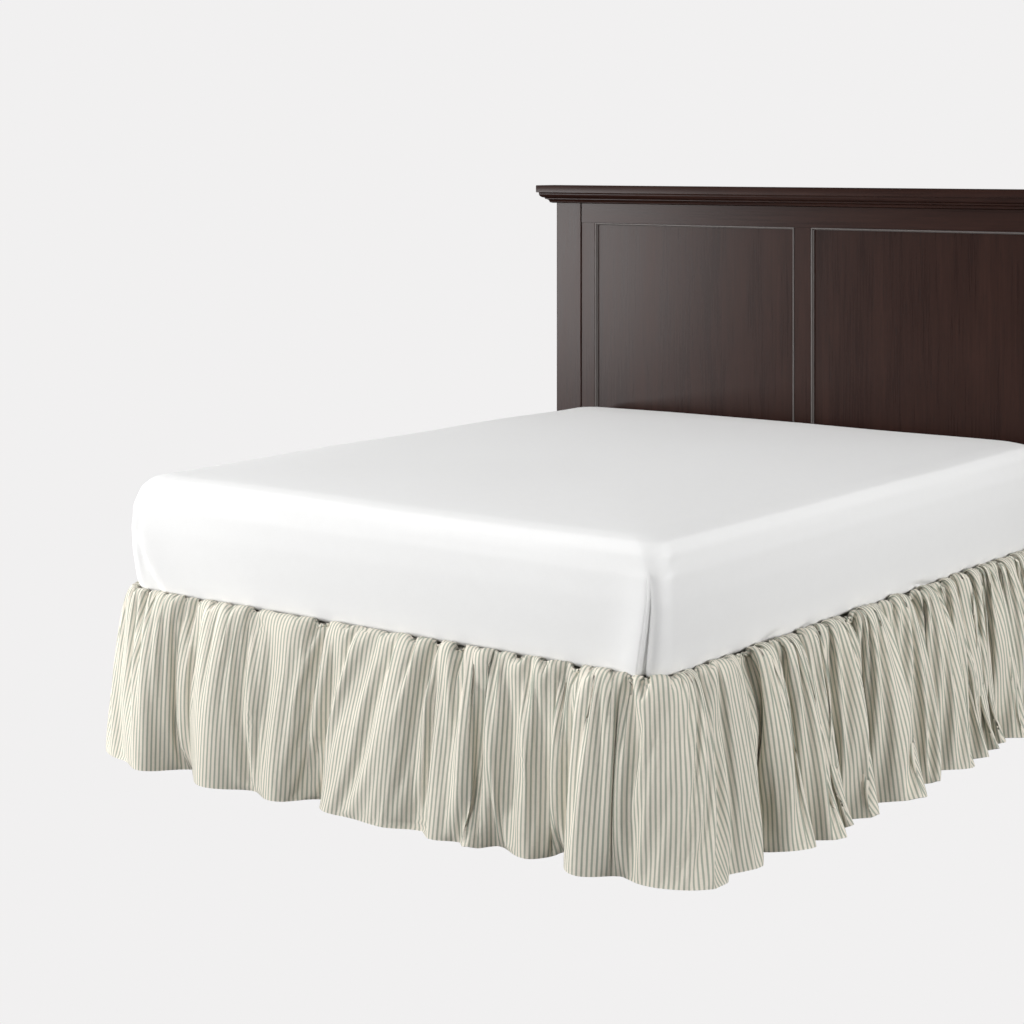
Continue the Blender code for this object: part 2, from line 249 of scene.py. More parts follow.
SIDE_FOLDS = (
    Fold(0.845, 0.832, 0.098, 0.915, 0.132, 0.000),
    Fold(1.063, 1.040, 0.040, 1.086, 0.170, 0.046),
    Fold(1.180, 1.128, 0.072, 1.180, 0.195, 0.016),
    Fold(1.300, 1.222, 0.104, 1.250, 0.176, 0.000),
    Fold(1.379, 1.286, 0.088, 1.350, 0.186, 0.000),
    Fold(1.541, 1.440, 0.064, 1.535, 0.214, 0.010),
    Fold(1.729, 1.636, 0.102, 1.672, 0.183, 0.000),
    Fold(1.890, 1.800, 0.050, 1.875, 0.183, 0.042),
    Fold(2.031, 1.930, 0.082, 1.985, 0.172, 0.008),
    Fold(2.138, 2.030, 0.094, 2.062, 0.168, 0.000),
    Fold(2.202, 2.090, 0.088, 2.118, 0.160, 0.000),
    Fold(2.267, 2.155, 0.066, 2.205, 0.180, 0.010),
    Fold(2.362, 2.278, 0.058, 2.350, 0.172, 0.014),
    Fold(2.479, 2.425, 0.062, 2.490, 0.158, 0.010),
    Fold(2.597, 2.562, 0.052, 2.635, 0.168, 0.012),
    Fold(2.719, 2.705, 0.070, 2.7604, 0.118, 0.000),
)
LEFT_END = (-2.760, 0.118, 0.0, -2.760)         # the crest that ends the strip on the left
CREST_TOP_FOOT, CREST_TOP_SIDE = 0.74, 0.50     # where a crest starts, between two troughs

HALF_WIDTH = deck_high.x
FOOT_Y = deck_low.y
CORNER_RADIUS = 0.055
FOOT_STRAIGHT = HALF_WIDTH - CORNER_RADIUS
SIDE_START = FOOT_STRAIGHT + CORNER_RADIUS * pi / 2
SIDE_END = SIDE_START + deck_high.y - FOOT_Y - CORNER_RADIUS


def turning_points():
    """Rows of run, swing, bow and place at the seam, trough and crest by turns."""
    shift = SIDE_START + SIDE_END
    left_side = [fold._replace(top_at=fold.top_at - shift, trough_at=fold.trough_at - shift,
                               crest_at=fold.crest_at - shift) for fold in SIDE_FOLDS[:-1]]
    in_order = left_side + [LEFT_CORNER, *FOOT_FOLDS, *SIDE_FOLDS]
    tops = [fold.top_at for fold in in_order] + [in_order[-1].crest_at]
    points = [LEFT_END]
    for fold, next_top in zip(in_order, tops[1:]):
        on_foot = abs(fold.trough_at) < FOOT_STRAIGHT
        part = CREST_TOP_FOOT if on_foot else CREST_TOP_SIDE
        crest_top = fold.top_at + part * (next_top - fold.top_at)
        points.append((fold.trough_at, fold.trough_swing, 0.0, fold.top_at))
        points.append((fold.crest_at, fold.crest_swing, fold.bow, crest_top))
    points[-1] = points[-1][:3] + (in_order[-1].crest_at,)
    return np.array(points)


folds = turning_points()
print(len(folds) // 2, "folds round the bed")

# %% [markdown]
# The seam is a run along the deck's edge. One helper turns a run into a place on that
# edge and the direction away from the bed there, also round the two foot corners. With it
# the hem of the big folds is drawn in plan, and the length of that line is the length the
# strip has to be cut to, because cloth bends easily but hardly stretches.

# %% Draw the hem in plan
FLANK_STEPS = 60


def seam(run):
    """Place on the deck's edge, and the way out from the bed, for each run."""
    side = np.sign(run)
    distance = np.abs(run)
    angle = np.clip((distance - FOOT_STRAIGHT) / CORNER_RADIUS, 0, pi / 2)
    outward = np.stack([side * np.sin(angle), -np.cos(angle)], -1)
    x = np.where(distance < FOOT_STRAIGHT, run, side * FOOT_STRAIGHT)
    y = FOOT_Y + CORNER_RADIUS + np.maximum(distance - SIDE_START, 0)
    return np.stack([x, y], -1) + outward * CORNER_RADIUS, outward


def lay_out(run, out, along):
    """Places in plan, moved out from the edge and along it."""
    place, outward = seam(run)
    sideways = np.stack([-outward[..., 1], outward[..., 0]], -1)
    return place + outward * out[..., None] + sideways * along[..., None]


def draw_hem():
    """Rows of run, swing, sideways bow, and the swing of the sharper folds higher up."""
    share = np.linspace(0, 1, FLANK_STEPS, endpoint=False)
    ease = (1 - np.cos(pi * share)) / 2
    rows = []
    for number, (before, after) in enumerate(zip(folds[:-1], folds[1:])):
        run = before[0] + (after[0] - before[0]) * share
        swing = before[1] + (after[1] - before[1]) * ease
        rising = number % 2
        sharp = np.sin(pi / 2 * share) if rising else 1 - np.cos(pi / 2 * share)
        higher = before[1] + (after[1] - before[1]) * sharp
        rows.append(np.stack([run, swing, -after[2] * np.sin(pi * share), higher], -1))
    rows.append(np.array([[folds[-1][0], folds[-1][1], 0.0, folds[-1][1]]]))
    return np.concatenate(rows)


hem = draw_hem()
hem_steps = np.linalg.norm(np.diff(lay_out(*hem[:, :3].T), axis=0), axis=1)
hem_length = np.concatenate([[0], np.cumsum(hem_steps)])
STRIP_LENGTH = float(hem_length[-1])
trough_places = hem_length[FLANK_STEPS::2 * FLANK_STEPS]
print("the strip is cut", round(STRIP_LENGTH, 2), "m long for a seam of", round(2 * SIDE_END, 2))

# %% [markdown]
# ## Gathering the strip
#
# Now the cloth itself: a fine net whose columns are evenly spaced along the strip and whose
# rows follow it down from the seam. A table says how plain cloth would puff over the deck's
# edge and fall. Each big fold opens towards the hem, and above each trough lies a valley
# that is deepest a little below the seam. A table of creases presses in what no rule would
# put there: each runs from its place at the seam to one further down.

# %% Helpers for uneven, soft shapes
def blur(values, reach, step):
    """Soft average along a line of evenly spaced values, carried on past both ends."""
    half = int(3 * reach / step)
    weight = np.exp(-0.5 * (np.arange(-half, half + 1) * step / reach) ** 2)
    before = 2 * values[0] - values[half:0:-1]
    after = 2 * values[-1] - values[-2:-half - 2:-1]
    return np.convolve(np.concatenate([before, values, after]), weight / weight.sum(), "valid")


def unevenness(rng, count, step, reach, limit=2.0):
    """Soft random values along the cloth, mostly between -1 and 1."""
    raw = blur(rng.normal(size=count), reach, step)
    return np.clip(raw / raw.std(), -limit, limit)


def smoothstep(values, low, high):
    """0 up to low, 1 from high on, and a soft rise between them."""
    share = np.clip((values - low) / (high - low), 0, 1)
    return share * share * (3 - 2 * share)


def between(first, second, share):
    """The first value where the share is 0, the second where it is 1."""
    return first + (second - first) * share


# %% Write down how the cloth falls
COLUMNS = 1750
ROWS = 54
ROW_CROWDING = 1.22                         # above 1, rows crowd towards the gathered top
Profile = namedtuple("Profile", "depth out height")
PROFILE = (
    Profile(0.000, 0.0006, 0.3995),
    Profile(0.006, 0.0010, 0.4050),
    Profile(0.012, 0.0030, 0.4105),
    Profile(0.019, 0.0080, 0.4150),
    Profile(0.027, 0.0150, 0.4160),
    Profile(0.036, 0.0215, 0.4105),
    Profile(0.048, 0.0255, 0.3995),
    Profile(0.088, 0.0265, 0.3600),
    Profile(0.170, 0.0210, 0.2785),
    Profile(0.285, 0.0110, 0.1640),
    Profile(0.442, 0.0000, 0.0075),
)
STRIP_DEPTH = PROFILE[-1].depth
PUFF_DEPTH = 0.012                          # the cloth above this stands up from the seam
SIDE_BLEND = 0.1                            # run past the corner by which a side is all side
FAN_TOP = 0.14                              # share of the fall in which the folds form
FAN_SOFT, SEAM_SOFT = 0.030, 0.10           # how far the folds and the seam are evened out
LEAN_CURVE = 0.85                           # below 1, folds lean most near the top
EASE_FOOT, EASE_SIDE = 1.4, 1.05            # above 1, the foot swings out early, a side late
EASE_CHANGE, EASE_REACH = 0.10, 0.12        # how unevenly, and over what length
SHARP_UNTIL = 0.45                          # share of the fall where troughs begin to round
VALLEY_WIDTH = 0.018
WIDE_VALLEY, WIDE_SHARE = 2.6, 0.7          # how much wider and shallower the wide one is
VALLEY_FOOT, VALLEY_SIDE = 0.030, 0.024     # how deep the valleys are
VALLEY_TOP, VALLEY_FULL = 0.03, 0.20        # shares of the fall where they start and are whole
VALLEY_FADE = 0.8                           # below 1, they fade mostly near the hem
VALLEY_LEVEL = 0.25                         # length over which they leave the cloth level
CREASE_START, CREASE_END = 0.08, 0.15       # shares of the fall where a crease comes and goes
Crease = namedtuple("Crease", "top_at low_at start end width depth")
CREASES = (
    Crease(-0.650, -0.690, 0.00, 0.50, 0.016, 0.012),
    Crease(-0.528, -0.520, 0.05, 0.95, 0.014, 0.020),
    Crease(-0.330, -0.290, 0.05, 0.65, 0.014, 0.018),
    Crease(-0.118, -0.125, 0.05, 0.75, 0.014, 0.022),
    Crease(-0.016, -0.110, 0.02, 0.95, 0.018, 0.014),
    Crease(0.197, 0.200, 0.05, 0.42, 0.014, 0.018),
    Crease(0.352, 0.392, 0.05, 0.80, 0.014, 0.016),
    Crease(0.456, 0.470, 0.05, 0.60, 0.014, 0.018),
    Crease(0.540, 0.545, 0.05, 1.00, 0.014, 0.022),
    Crease(0.849, 0.845, 0.02, 0.45, 0.020, 0.012),
    Crease(1.066, 1.050, 0.03, 1.00, 0.018, 0.034),
    Crease(1.180, 1.128, 0.02, 0.60, 0.014, 0.030),
    Crease(1.300, 1.222, 0.02, 0.60, 0.014, 0.034),
    Crease(1.541, 1.440, 0.02, 0.80, 0.016, 0.034),
    Crease(1.729, 1.636, 0.02, 0.50, 0.014, 0.030),
    Crease(1.890, 1.800, 0.02, 1.00, 0.020, 0.034),
    Crease(2.138, 2.030, 0.02, 0.60, 0.014, 0.030),
)
print("a strip", STRIP_DEPTH, "m deep, with", len(CREASES), "creases")

# %% Lay the strip in its big folds
rng = np.random.default_rng(20)
along_cloth = np.linspace(0, STRIP_LENGTH, COLUMNS)
column_step = along_cloth[1]
depth = STRIP_DEPTH * np.linspace(0, 1, ROWS) ** ROW_CROWDING
fall = np.clip((depth - PUFF_DEPTH) / (STRIP_DEPTH - PUFF_DEPTH), 0, 1)[:, None]
turns = hem_length[::FLANK_STEPS]
run_fan = blur(np.interp(along_cloth, turns, folds[:, 3]), FAN_SOFT, column_step)
run_seam = blur(run_fan, SEAM_SOFT, column_step)
on_side = smoothstep(np.abs(run_seam), FOOT_STRAIGHT, SIDE_START + SIDE_BLEND)


def valley_relief():
    """A narrow valley within a wide one over each trough, fading on the way down."""
    gap = np.abs(along_cloth[:, None] - trough_places).min(1)
    relief = -np.exp(-(gap / VALLEY_WIDTH) ** 2)
    relief = relief - WIDE_SHARE * np.exp(-(gap / WIDE_VALLEY / VALLEY_WIDTH) ** 2)
    relief -= blur(relief, VALLEY_LEVEL, column_step)
    deep = between(VALLEY_FOOT, VALLEY_SIDE, on_side)
    return relief * (deep * smoothstep(fall, VALLEY_TOP, VALLEY_FULL) * (1 - fall) ** VALLEY_FADE)


def press_creases(out, run):
    """Draw the cloth in along each crease."""
    for crease in CREASES:
        part = np.clip((fall - crease.start) / (crease.end - crease.start), 0, 1)
        away = run - between(crease.top_at, crease.low_at, part)
        begun = smoothstep(fall, crease.start - CREASE_START, crease.start + CREASE_START)
        length = begun * (1 - smoothstep(fall, crease.end - CREASE_END, crease.end))
        out = out - crease.depth * length * np.exp(-(away / crease.width) ** 2)
    return out


def lay_big_folds():
    """Places of the whole net with its big folds, valleys and creases."""
    run_low, swing, bow, sharp = (np.interp(along_cloth, hem_length, hem[:, i]) for i in range(4))
    change = 1 + EASE_CHANGE * unevenness(rng, COLUMNS, column_step, EASE_REACH)
    foot_share = 1 - (1 - fall) ** (EASE_FOOT * change)
    share = between(foot_share, fall ** (EASE_SIDE * change), on_side)
    run = between(run_seam, run_fan, smoothstep(fall, 0.0, FAN_TOP))
    run = run + (run_low - run_fan) * fall ** LEAN_CURVE
    swing = between(sharp, swing, smoothstep(fall, SHARP_UNTIL, 1.0))
    table = np.array(PROFILE)
    out = press_creases(np.interp(depth, table[:, 0], table[:, 1])[:, None], run)
    plan = lay_out(run, out + swing * share + valley_relief(), bow * share)
    height = np.interp(depth, table[:, 0], table[:, 2])[:, None, None]
    return np.concatenate([plan, np.broadcast_to(height, plan.shape[:2] + (1,))], -1)


plain = lay_big_folds()
print("net of", ROWS, "rows and", COLUMNS, "columns,", round(column_step * 1000, 1), "mm apart")

# %% [markdown]
# High up, where a big fold is still narrow, the strip has cloth to spare, and that goes into
# gathers: small and tight at the seam, broader below, and on the sides mostly in step with
# the big folds, so that they swell. A gather of bent but unstretched cloth follows the same
# curve as a bent ruler, and the first terms of that curve's series give its height and the
# way its sides lean over.

# %% Put the spare cloth into gathers
GATHER_FOOT, GATHER_SIDE = 0.062, 0.078     # cloth taken by one gather at the seam
BROAD_GATHER = 0.180                        # and by one of the broader ones below
GATHER_CHANGE, GATHER_SOFT = 0.30, 0.03     # how unevenly, and over what length
TAUT = 0.995                                # cloth less packed than this has none to spare
TIGHTEST, MOST_SPARE = 0.25, 0.5            # bounds on how packed it is and what it spares
REACH_FOOT, REACH_SIDE = 0.30, 0.15         # share of the fall that the small ones reach down
REACH_CHANGE = 0.6                          # how unevenly
FOLDS_FOOT, FOLDS_SIDE = 0.75, 0.96         # share of the broad gathers in step with the folds
SEAM_SHARE, PUFF_SHARE = 0.75, 0.35         # height of gathers at the seam, and what is added
WANDER, WANDER_REACH = 0.3, 0.10            # how far a gather strays on its way down


def gathers(spacing):
    """Turning angle of uneven gathers along the strip, and how fast it turns."""
    change = unevenness(rng, COLUMNS, column_step, GATHER_SOFT)
    rate = 2 * pi / spacing * np.exp(GATHER_CHANGE * change)
    return np.cumsum(rate * column_step), rate


def gathers_in_step():
    """The same with one gather for each big fold."""
    turn = np.interp(along_cloth, turns, pi * (np.arange(len(turns)) + 0.5))
    return turn, np.gradient(turn, column_step)


def gather_shares():
    """How much of the spare cloth the small, the broad and the in-step gathers take."""
    change = unevenness(rng, COLUMNS, column_step, GATHER_SOFT)
    reach = between(REACH_FOOT, REACH_SIDE, on_side) * np.exp(REACH_CHANGE * change)
    start = SEAM_SHARE + PUFF_SHARE * smoothstep(depth, 0.0, PUFF_DEPTH)[:, None]
    fine = np.exp(-(fall / reach) ** 2)
    broad = np.sqrt(1 - fine ** 2)
    in_step = between(FOLDS_FOOT, FOLDS_SIDE, on_side)
    return fine * start, broad * np.sqrt(1 - in_step ** 2) * (1 - on_side), broad * in_step


def add_gathers():
    """Raise the spare cloth of the plain net in gathers, each leaning over its own sides."""
    across = np.gradient(plain, column_step, axis=1)
    normal = np.cross(np.gradient(plain, depth, axis=0), across)
    normal /= np.linalg.norm(normal, axis=-1, keepdims=True)
    packed = np.linalg.norm(across, axis=-1)
    spare = np.clip(TAUT - np.sqrt(np.clip(packed, TIGHTEST, 1)), 0, MOST_SPARE)
    steep = 2 * np.sqrt(2 * spare)
    sets = (gathers(between(GATHER_FOOT, GATHER_SIDE, on_side)), gathers(BROAD_GATHER),
            gathers_in_step())
    shares = gather_shares()
    wander = WANDER * unevenness(rng, COLUMNS, column_step, WANDER_REACH) * fall
    wave = np.zeros_like(packed)
    pinch = np.zeros_like(packed)
    for (turn, rate), amount in zip(sets, shares):
        lean = steep * amount
        wave += lean * (1 - lean ** 2 / 8 + lean ** 4 / 192) / rate * np.sin(turn + wander)
        pinch += lean ** 2 / 8 * (1 - lean ** 2 / 12) / rate * np.sin(2 * (turn + wander))
    tangent = across / packed[..., None]
    return plain + normal * wave[..., None] - tangent * pinch[..., None]


gathered = add_gathers()
drawn_in = 1 - 2 * SIDE_END / STRIP_LENGTH
print("the seam draws the strip in by", round(drawn_in * 100), "%")

# %% [markdown]
# ## Letting the cloth settle
#
# Blender's own cloth could relax this net, but with so many points it takes minutes and it
# mostly trembles in place. A few lines of the same idea do it in seconds. Every edge of the
# net pulls its two ends to their cut distance, the diagonals resist less, because woven
# cloth shears, and a gentle pull towards straight runs stands for the cloth's own
# stiffness. Each step the net sinks a little under its weight, keeps outside the bed, and
# its hem is held to the folds of the table. Tight spots buckle into the sharp little
# diagonal creases that real gathers have.

# %% Write down how the cloth behaves
SETTLE_STEPS = 200
PULLS = 4                                # rounds of edge pulls in each step
THREAD, BIAS = 0.475, 0.125              # share of an error each end makes up, along and askew
BEND = ((1, 0.003), (2, 0.0005))         # stiffness along the strip: columns apart, amount
BEND_DOWN = ((1, 0.020), (2, 0.020))     # and down the cloth: rows apart, amount
SINK = 0.00001                           # how far the weight moves a point in one step
GLIDE = 0.90                             # share of its motion that a point keeps
HOLD_HEM = 0.12                          # share of its way back to the folds that the hem goes
HOLD_TOP, HOLD_TOP_REACH = 0.06, 0.030   # the same at the top, and how far down that reaches
DRAW_UP = 0.985                          # the fall of the cloth, against the plain folds' length
CLEAR_OF_BED, OVER_DECK, CLEAR_OF_FLOOR = 0.004, 0.001, 0.0065
print(SETTLE_STEPS, "steps, with", PULLS, "rounds of pulls in each")


# %% Helpers that move the net
def pull(net, first, second, length, amount):
    """Move both ends of every edge so that it comes nearer to its own length."""
    edge = net[second] - net[first]
    error = amount * (1 - length / np.sqrt((edge * edge).sum(0)))
    edge *= error
    net[first] += edge
    net[second] -= edge


def straighten(net, stride, amount, axis):
    """Ease each point towards the middle of its neighbours, and them away from it."""
    lines = np.moveaxis(net, axis, 0)          # a view, so this moves the net itself
    low, middle, high = lines[:-2 * stride], lines[stride:-stride], lines[2 * stride:]
    bend = low - 2 * middle + high
    middle += bend * (amount / 2)
    low -= bend * (amount / 4)
    high -= bend * (amount / 4)


def keep_outside(net):
    """Push points that have crept under the deck's edge back out, and off the floor."""
    x, y, z = net
    past_side = np.abs(x) - (HALF_WIDTH - CORNER_RADIUS)
    past_foot = FOOT_Y + CORNER_RADIUS - y
    round_corner = (past_side > 0) & (past_foot > 0)
    corner = np.hypot(np.maximum(past_side, 0), np.maximum(past_foot, 0)) + 1e-9
    distance = np.where(round_corner, corner, np.maximum(past_side, past_foot)) - CORNER_RADIUS
    limit = np.where(z < deck_low.z, CLEAR_OF_BED, -OVER_DECK)
    limit[0] = -1                              # the seam itself is never pushed
    push = np.maximum(limit - distance, 0)
    side_share = np.where(round_corner, past_side / corner, past_side >= past_foot)
    foot_share = np.where(round_corner, past_foot / corner, past_side < past_foot)
    x += np.sign(x) * side_share * push
    y -= foot_share * push
    np.maximum(z, CLEAR_OF_FLOOR, out=z)


# %% Settle the net
def settle(gathered, plain, depth, step):
    """The gathered net after it has hung for a while."""
    net = np.ascontiguousarray(gathered.transpose(2, 0, 1), np.float32)
    target = plain.transpose(2, 0, 1).astype(np.float32)
    start, last = net.copy(), net.copy()
    drop = DRAW_UP * np.linalg.norm(np.diff(target, axis=1), axis=0)
    askew = np.sqrt(step ** 2 + ((drop[:, 1:] + drop[:, :-1]) / 2) ** 2)
    hold_top = (HOLD_TOP * np.exp(-(depth / HOLD_TOP_REACH) ** 2)).astype(np.float32)[:, None]
    every, left, right = slice(None), slice(None, -1), slice(1, None)
    for _ in range(SETTLE_STEPS):
        motion = (net - last) * GLIDE
        last = net.copy()
        net += motion
        net[2, 1:] -= SINK
        for _ in range(PULLS):
            pull(net, (every, every, left), (every, every, right), step, THREAD)
            pull(net, (every, left), (every, right), drop, THREAD)
            pull(net, (every, left, left), (every, right, right), askew, BIAS)
            pull(net, (every, left, right), (every, right, left), askew, BIAS)
            net[:, 0] = start[:, 0]
        for stride, amount in BEND:
            straighten(net, stride, amount, 2)
        for stride, amount in BEND_DOWN:
            straighten(net, stride, amount, 1)
        net[:2, -1] += (target[:2, -1] - net[:2, -1]) * HOLD_HEM
        net += (start - net) * hold_top
        net[:, 0] = start[:, 0]
        keep_outside(net)
    return net.transpose(1, 2, 0).astype(float)


settled = settle(gathered, plain, depth, column_step)
stretch = np.linalg.norm(np.diff(settled, axis=1), axis=-1) / column_step
print("threads across now at", np.round(np.percentile(stretch, (2, 50, 98)), 3), "of their length")

# %% [markdown]
# The settled net becomes a mesh: a grid primitive of the same rows and columns, whose
# points move to their places. Its UV map keeps where each point lay on the flat strip, in
# metres, so that stripes and weave follow the cloth into every fold. The hem is the cloth
# itself, turned up inside by a finger's width.

# %% Turn a net into a mesh
def net_piece(name, net, across, down, sharp_row=None):
    """A smooth mesh from rows and columns of places, with the flat cloth as its UV map.

    One row may be a sharp edge, as where a hem is pressed.
    """
    rows, columns = net.shape[:2]
    bm = bmesh.new()
    bmesh.ops.create_grid(bm, x_segments=columns - 1, y_segments=rows - 1, size=0.5)
    flat = bm.loops.layers.uv.new("cut")
    for vert in bm.verts:
        column = round((vert.co.x + 0.5) * (columns - 1))
        row = round((0.5 - vert.co.y) * (rows - 1))
        vert.index = row * columns + column
    for face in bm.faces:
        face.smooth = True
        for loop in face.loops:
            row, column = divmod(loop.vert.index, columns)
            loop[flat].uv = (across[column], -down[row])
    if sharp_row is not None:
        for edge in bm.edges:
            edge.smooth = any(vert.index // columns != sharp_row for vert in edge.verts)
    for vert in bm.verts:
        vert.co = net[divmod(vert.index, columns)]
    return finish_mesh(name, bm)


# %% Turn up the hem and make the ruffle
Turn = namedtuple("Turn", "up back flat")      # up and in from the fold, and in the flat cloth
HEM_TURN = (Turn(0.0000, 0.0016, 0.002), Turn(0.0060, 0.0030, 0.008), Turn(0.0150, 0.0024, 0.017))


def turn_up_hem(net):
    """Add the rows of the hem's inner layer, a little inside the outer one."""
    along = np.gradient(net[-1], axis=0)
    inward = np.cross(along, net[-1] - net[-3])
    inward /= np.linalg.norm(inward, axis=1, keepdims=True)
    outside = np.cross(along, np.array([0.0, 0.0, 1.0]))
    inward *= np.sign((inward * -outside).sum(1, keepdims=True))
    upward = net[-3] - net[-1]
    upward /= np.linalg.norm(upward, axis=1, keepdims=True)
    rows = [net[-1] + upward * turn.up + inward * turn.back for turn in HEM_TURN]
    return np.concatenate([net, np.array(rows)])


with_hem = turn_up_hem(settled)
down_cloth = np.append(depth, [depth[-1] + turn.flat for turn in HEM_TURN])
ruffle = net_piece("gathered_ruffle", with_hem, along_cloth, down_cloth, sharp_row=ROWS - 1)
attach(ruffle, "root")
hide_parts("ruffle")
print("ruffle of", len(ruffle.data.polygons), "faces")

# %% [markdown]
# ## Mattress in its fitted sheet
#
# A fitted sheet is stretched over the mattress and tucked under it, so mattress and sheet
# are made as one padded piece: a closed net of rings, whose section follows the frame's
# mattress from its underside to the crown. What shows that it is cloth lies on top of that:
# the spare cloth folded back at each corner as a pleat, short creases where the sheet is
# pulled under the edge, and a faint unevenness. A cloth simulation would iron out the
# pleats, so they are listed one by one.

# %% Rings for padded pieces
Ring = namedtuple("Ring", "inset height corner")
Spot = namedtuple("Spot", "run step near far")
PLAIN_STEP = 0.026                       # between columns away from the spots
FINE_STEPS = 30001                       # how finely a ring is measured


def ring_place(run, inset, corner, half, nominal):
    """Place on a rounded rectangle, and the way out; run 0 is the middle of its foot."""
    side, distance = np.sign(run), np.abs(run)
    arc, foot_length, side_length = nominal * pi / 2, half[0] - nominal, 2 * (half[1] - nominal)
    foot = np.clip(distance / foot_length, 0, 1)
    first_turn = np.clip((distance - foot_length) / arc, 0, 1)
    flank = np.clip((distance - foot_length - arc) / side_length, 0, 1)
    second_turn = np.clip((distance - foot_length - arc - side_length) / arc, 0, 1)
    head = np.clip((distance - foot_length - 2 * arc - side_length) / foot_length, 0, 1)
    angle = (first_turn + second_turn) * pi / 2
    x = side * ((half[0] - inset - corner) * (foot - head) + corner * np.sin(angle))
    y = (half[1] - inset - corner) * (2 * flank - 1) - corner * np.cos(angle)
    return np.stack([x, y], -1), np.stack([side * np.sin(angle), -np.cos(angle)], -1)


def ring_runs(half, nominal, spots):
    """Runs round the ring, evenly spaced but closer together near the given spots."""
    reach = 2 * (half[0] + half[1] - 2 * nominal) + nominal * pi
    fine = np.linspace(-reach, reach, FINE_STEPS)[:-1]
    wanted = np.full(len(fine), PLAIN_STEP)
    for spot in spots:
        away = smoothstep(np.abs(np.abs(fine) - spot.run), spot.near, spot.far)
        wanted = np.minimum(wanted, between(spot.step, PLAIN_STEP, away))
    pace = np.concatenate([[0], np.cumsum((fine[1] - fine[0]) / wanted)])
    count = int(pace[-1])
    return np.interp(np.arange(count) * pace[-1] / count, pace[:-1], fine)


# %% Sections, and closing a net
EVEN_STEPS = 1200                        # how finely a section is measured
PACE_FLAT, PACE_UPRIGHT, PACE_TURN = 0.35, 1.0, 220    # how rings crowd on it


def ring_profile(rings, count, ease):
    """Evenly eased inset, height and corner, with rings crowded where the section turns."""
    table = np.array(rings)
    steps = np.hypot(np.diff(table[:, 0]), np.diff(table[:, 1]))
    reach = np.concatenate([[0], np.cumsum(steps)])
    even = np.linspace(0, reach[-1], EVEN_STEPS)
    eased = [blur(np.interp(even, reach, column), ease, even[1]) for column in table.T]
    dense = np.stack(eased, 1)
    dense[:, 1] = np.clip(dense[:, 1], table[0, 1], table[-1, 1])
    angle = np.unwrap(np.arctan2(np.gradient(dense[:, 1]), -np.gradient(dense[:, 0])))
    upright = np.abs(np.gradient(dense[:, 1])) > 0.5 * even[1]
    turning = np.abs(np.gradient(angle))
    pace = np.cumsum(PACE_FLAT + PACE_UPRIGHT * upright + PACE_TURN * turning)
    number = np.arange(EVEN_STEPS)
    pick = np.interp(np.linspace(pace[0], pace[-1], count), pace, number)
    chosen = np.stack([np.interp(pick, number, column) for column in dense.T], 1)
    return chosen, np.interp(pick, number, even)


def stack_rings(section, runs, half, corner, middle_y, low_z, relief=None):
    """A net of one ring for each row of inset, height and corner, with any relief."""
    rows = []
    for inset, height, ring_corner in section:
        place, outward = ring_place(runs, inset, ring_corner, half, corner)
        if relief:
            place = place + outward * relief(inset, height)[:, None]
        level = np.full((len(runs), 1), low_z + height)
        rows.append(np.concatenate([place + (0, middle_y), level], 1))
    return np.array(rows)


def mend(piece, is_hole=lambda edge: True, shade_angle=None):
    """Weld a net's meeting edges, fill its holes and turn every face outwards.

    With an angle, faces are shaded softly only where they meet at less than that.
    """
    bm = bmesh.new()
    bm.from_mesh(piece.data)
    bmesh.ops.remove_doubles(bm, verts=bm.verts, dist=1e-6)
    rim = [edge for edge in bm.edges if edge.is_boundary and is_hole(edge)]
    bmesh.ops.holes_fill(bm, edges=rim, sides=0)
    bmesh.ops.recalc_face_normals(bm, faces=bm.faces)
    if shade_angle:
        for face in bm.faces:
            face.smooth = True
        for edge in bm.edges:
            edge.smooth = edge.calc_face_angle(0.0) < radians(shade_angle)
    bm.to_mesh(piece.data)
    bm.free()
    return piece


def ring_piece(name, net, across, down):
    """A closed smooth mesh from rings of places, its two ends filled."""
    wrapped = np.concatenate([net, net[:, :1]], 1)
    wrapped_across = np.append(across, 2 * across[-1] - across[-2])
    return mend(net_piece(name, wrapped, wrapped_across, down))


# %% Pleats, tucks and creases of the fitted sheet
MATTRESS_HALF, MATTRESS_CORNER = (0.762, 1.022), 0.055
MATTRESS_MIDDLE_Y = 0.022
MATTRESS_RINGS = (
    Ring(0.752, 0.0000, 0.004), Ring(0.034, 0.0000, 0.040), Ring(0.013, 0.0020, 0.048),
    Ring(0.002, 0.0100, 0.052), Ring(-0.004, 0.0330, 0.054), Ring(-0.010, 0.100, 0.050),
    Ring(-0.012, 0.160, 0.046), Ring(-0.008, 0.215, 0.046), Ring(0.004, 0.258, 0.050),
    Ring(0.022, 0.280, 0.052), Ring(0.055, 0.289, 0.052), Ring(0.140, 0.294, 0.060),
    Ring(0.300, 0.299, 0.080), Ring(0.520, 0.302, 0.100), Ring(0.745, 0.3035, 0.010),
)
Pleat = namedtuple("Pleat", "low high depth left right edge")
PLEATS = (
    Pleat((0.708, 0.000), (0.722, 0.222), 0.032, 0.050, 0.020, 0.0030),
    Pleat((-0.640, 0.000), (-0.745, 0.215), -0.016, 0.030, 0.070, 0.0040),
    Pleat((2.700, 0.000), (2.715, 0.200), -0.016, 0.050, 0.050, 0.0050),
    Pleat((-2.700, 0.000), (-2.712, 0.205), 0.016, 0.050, 0.050, 0.0050),
)
Dent = namedtuple("Dent", "run height reach rise slope depth")
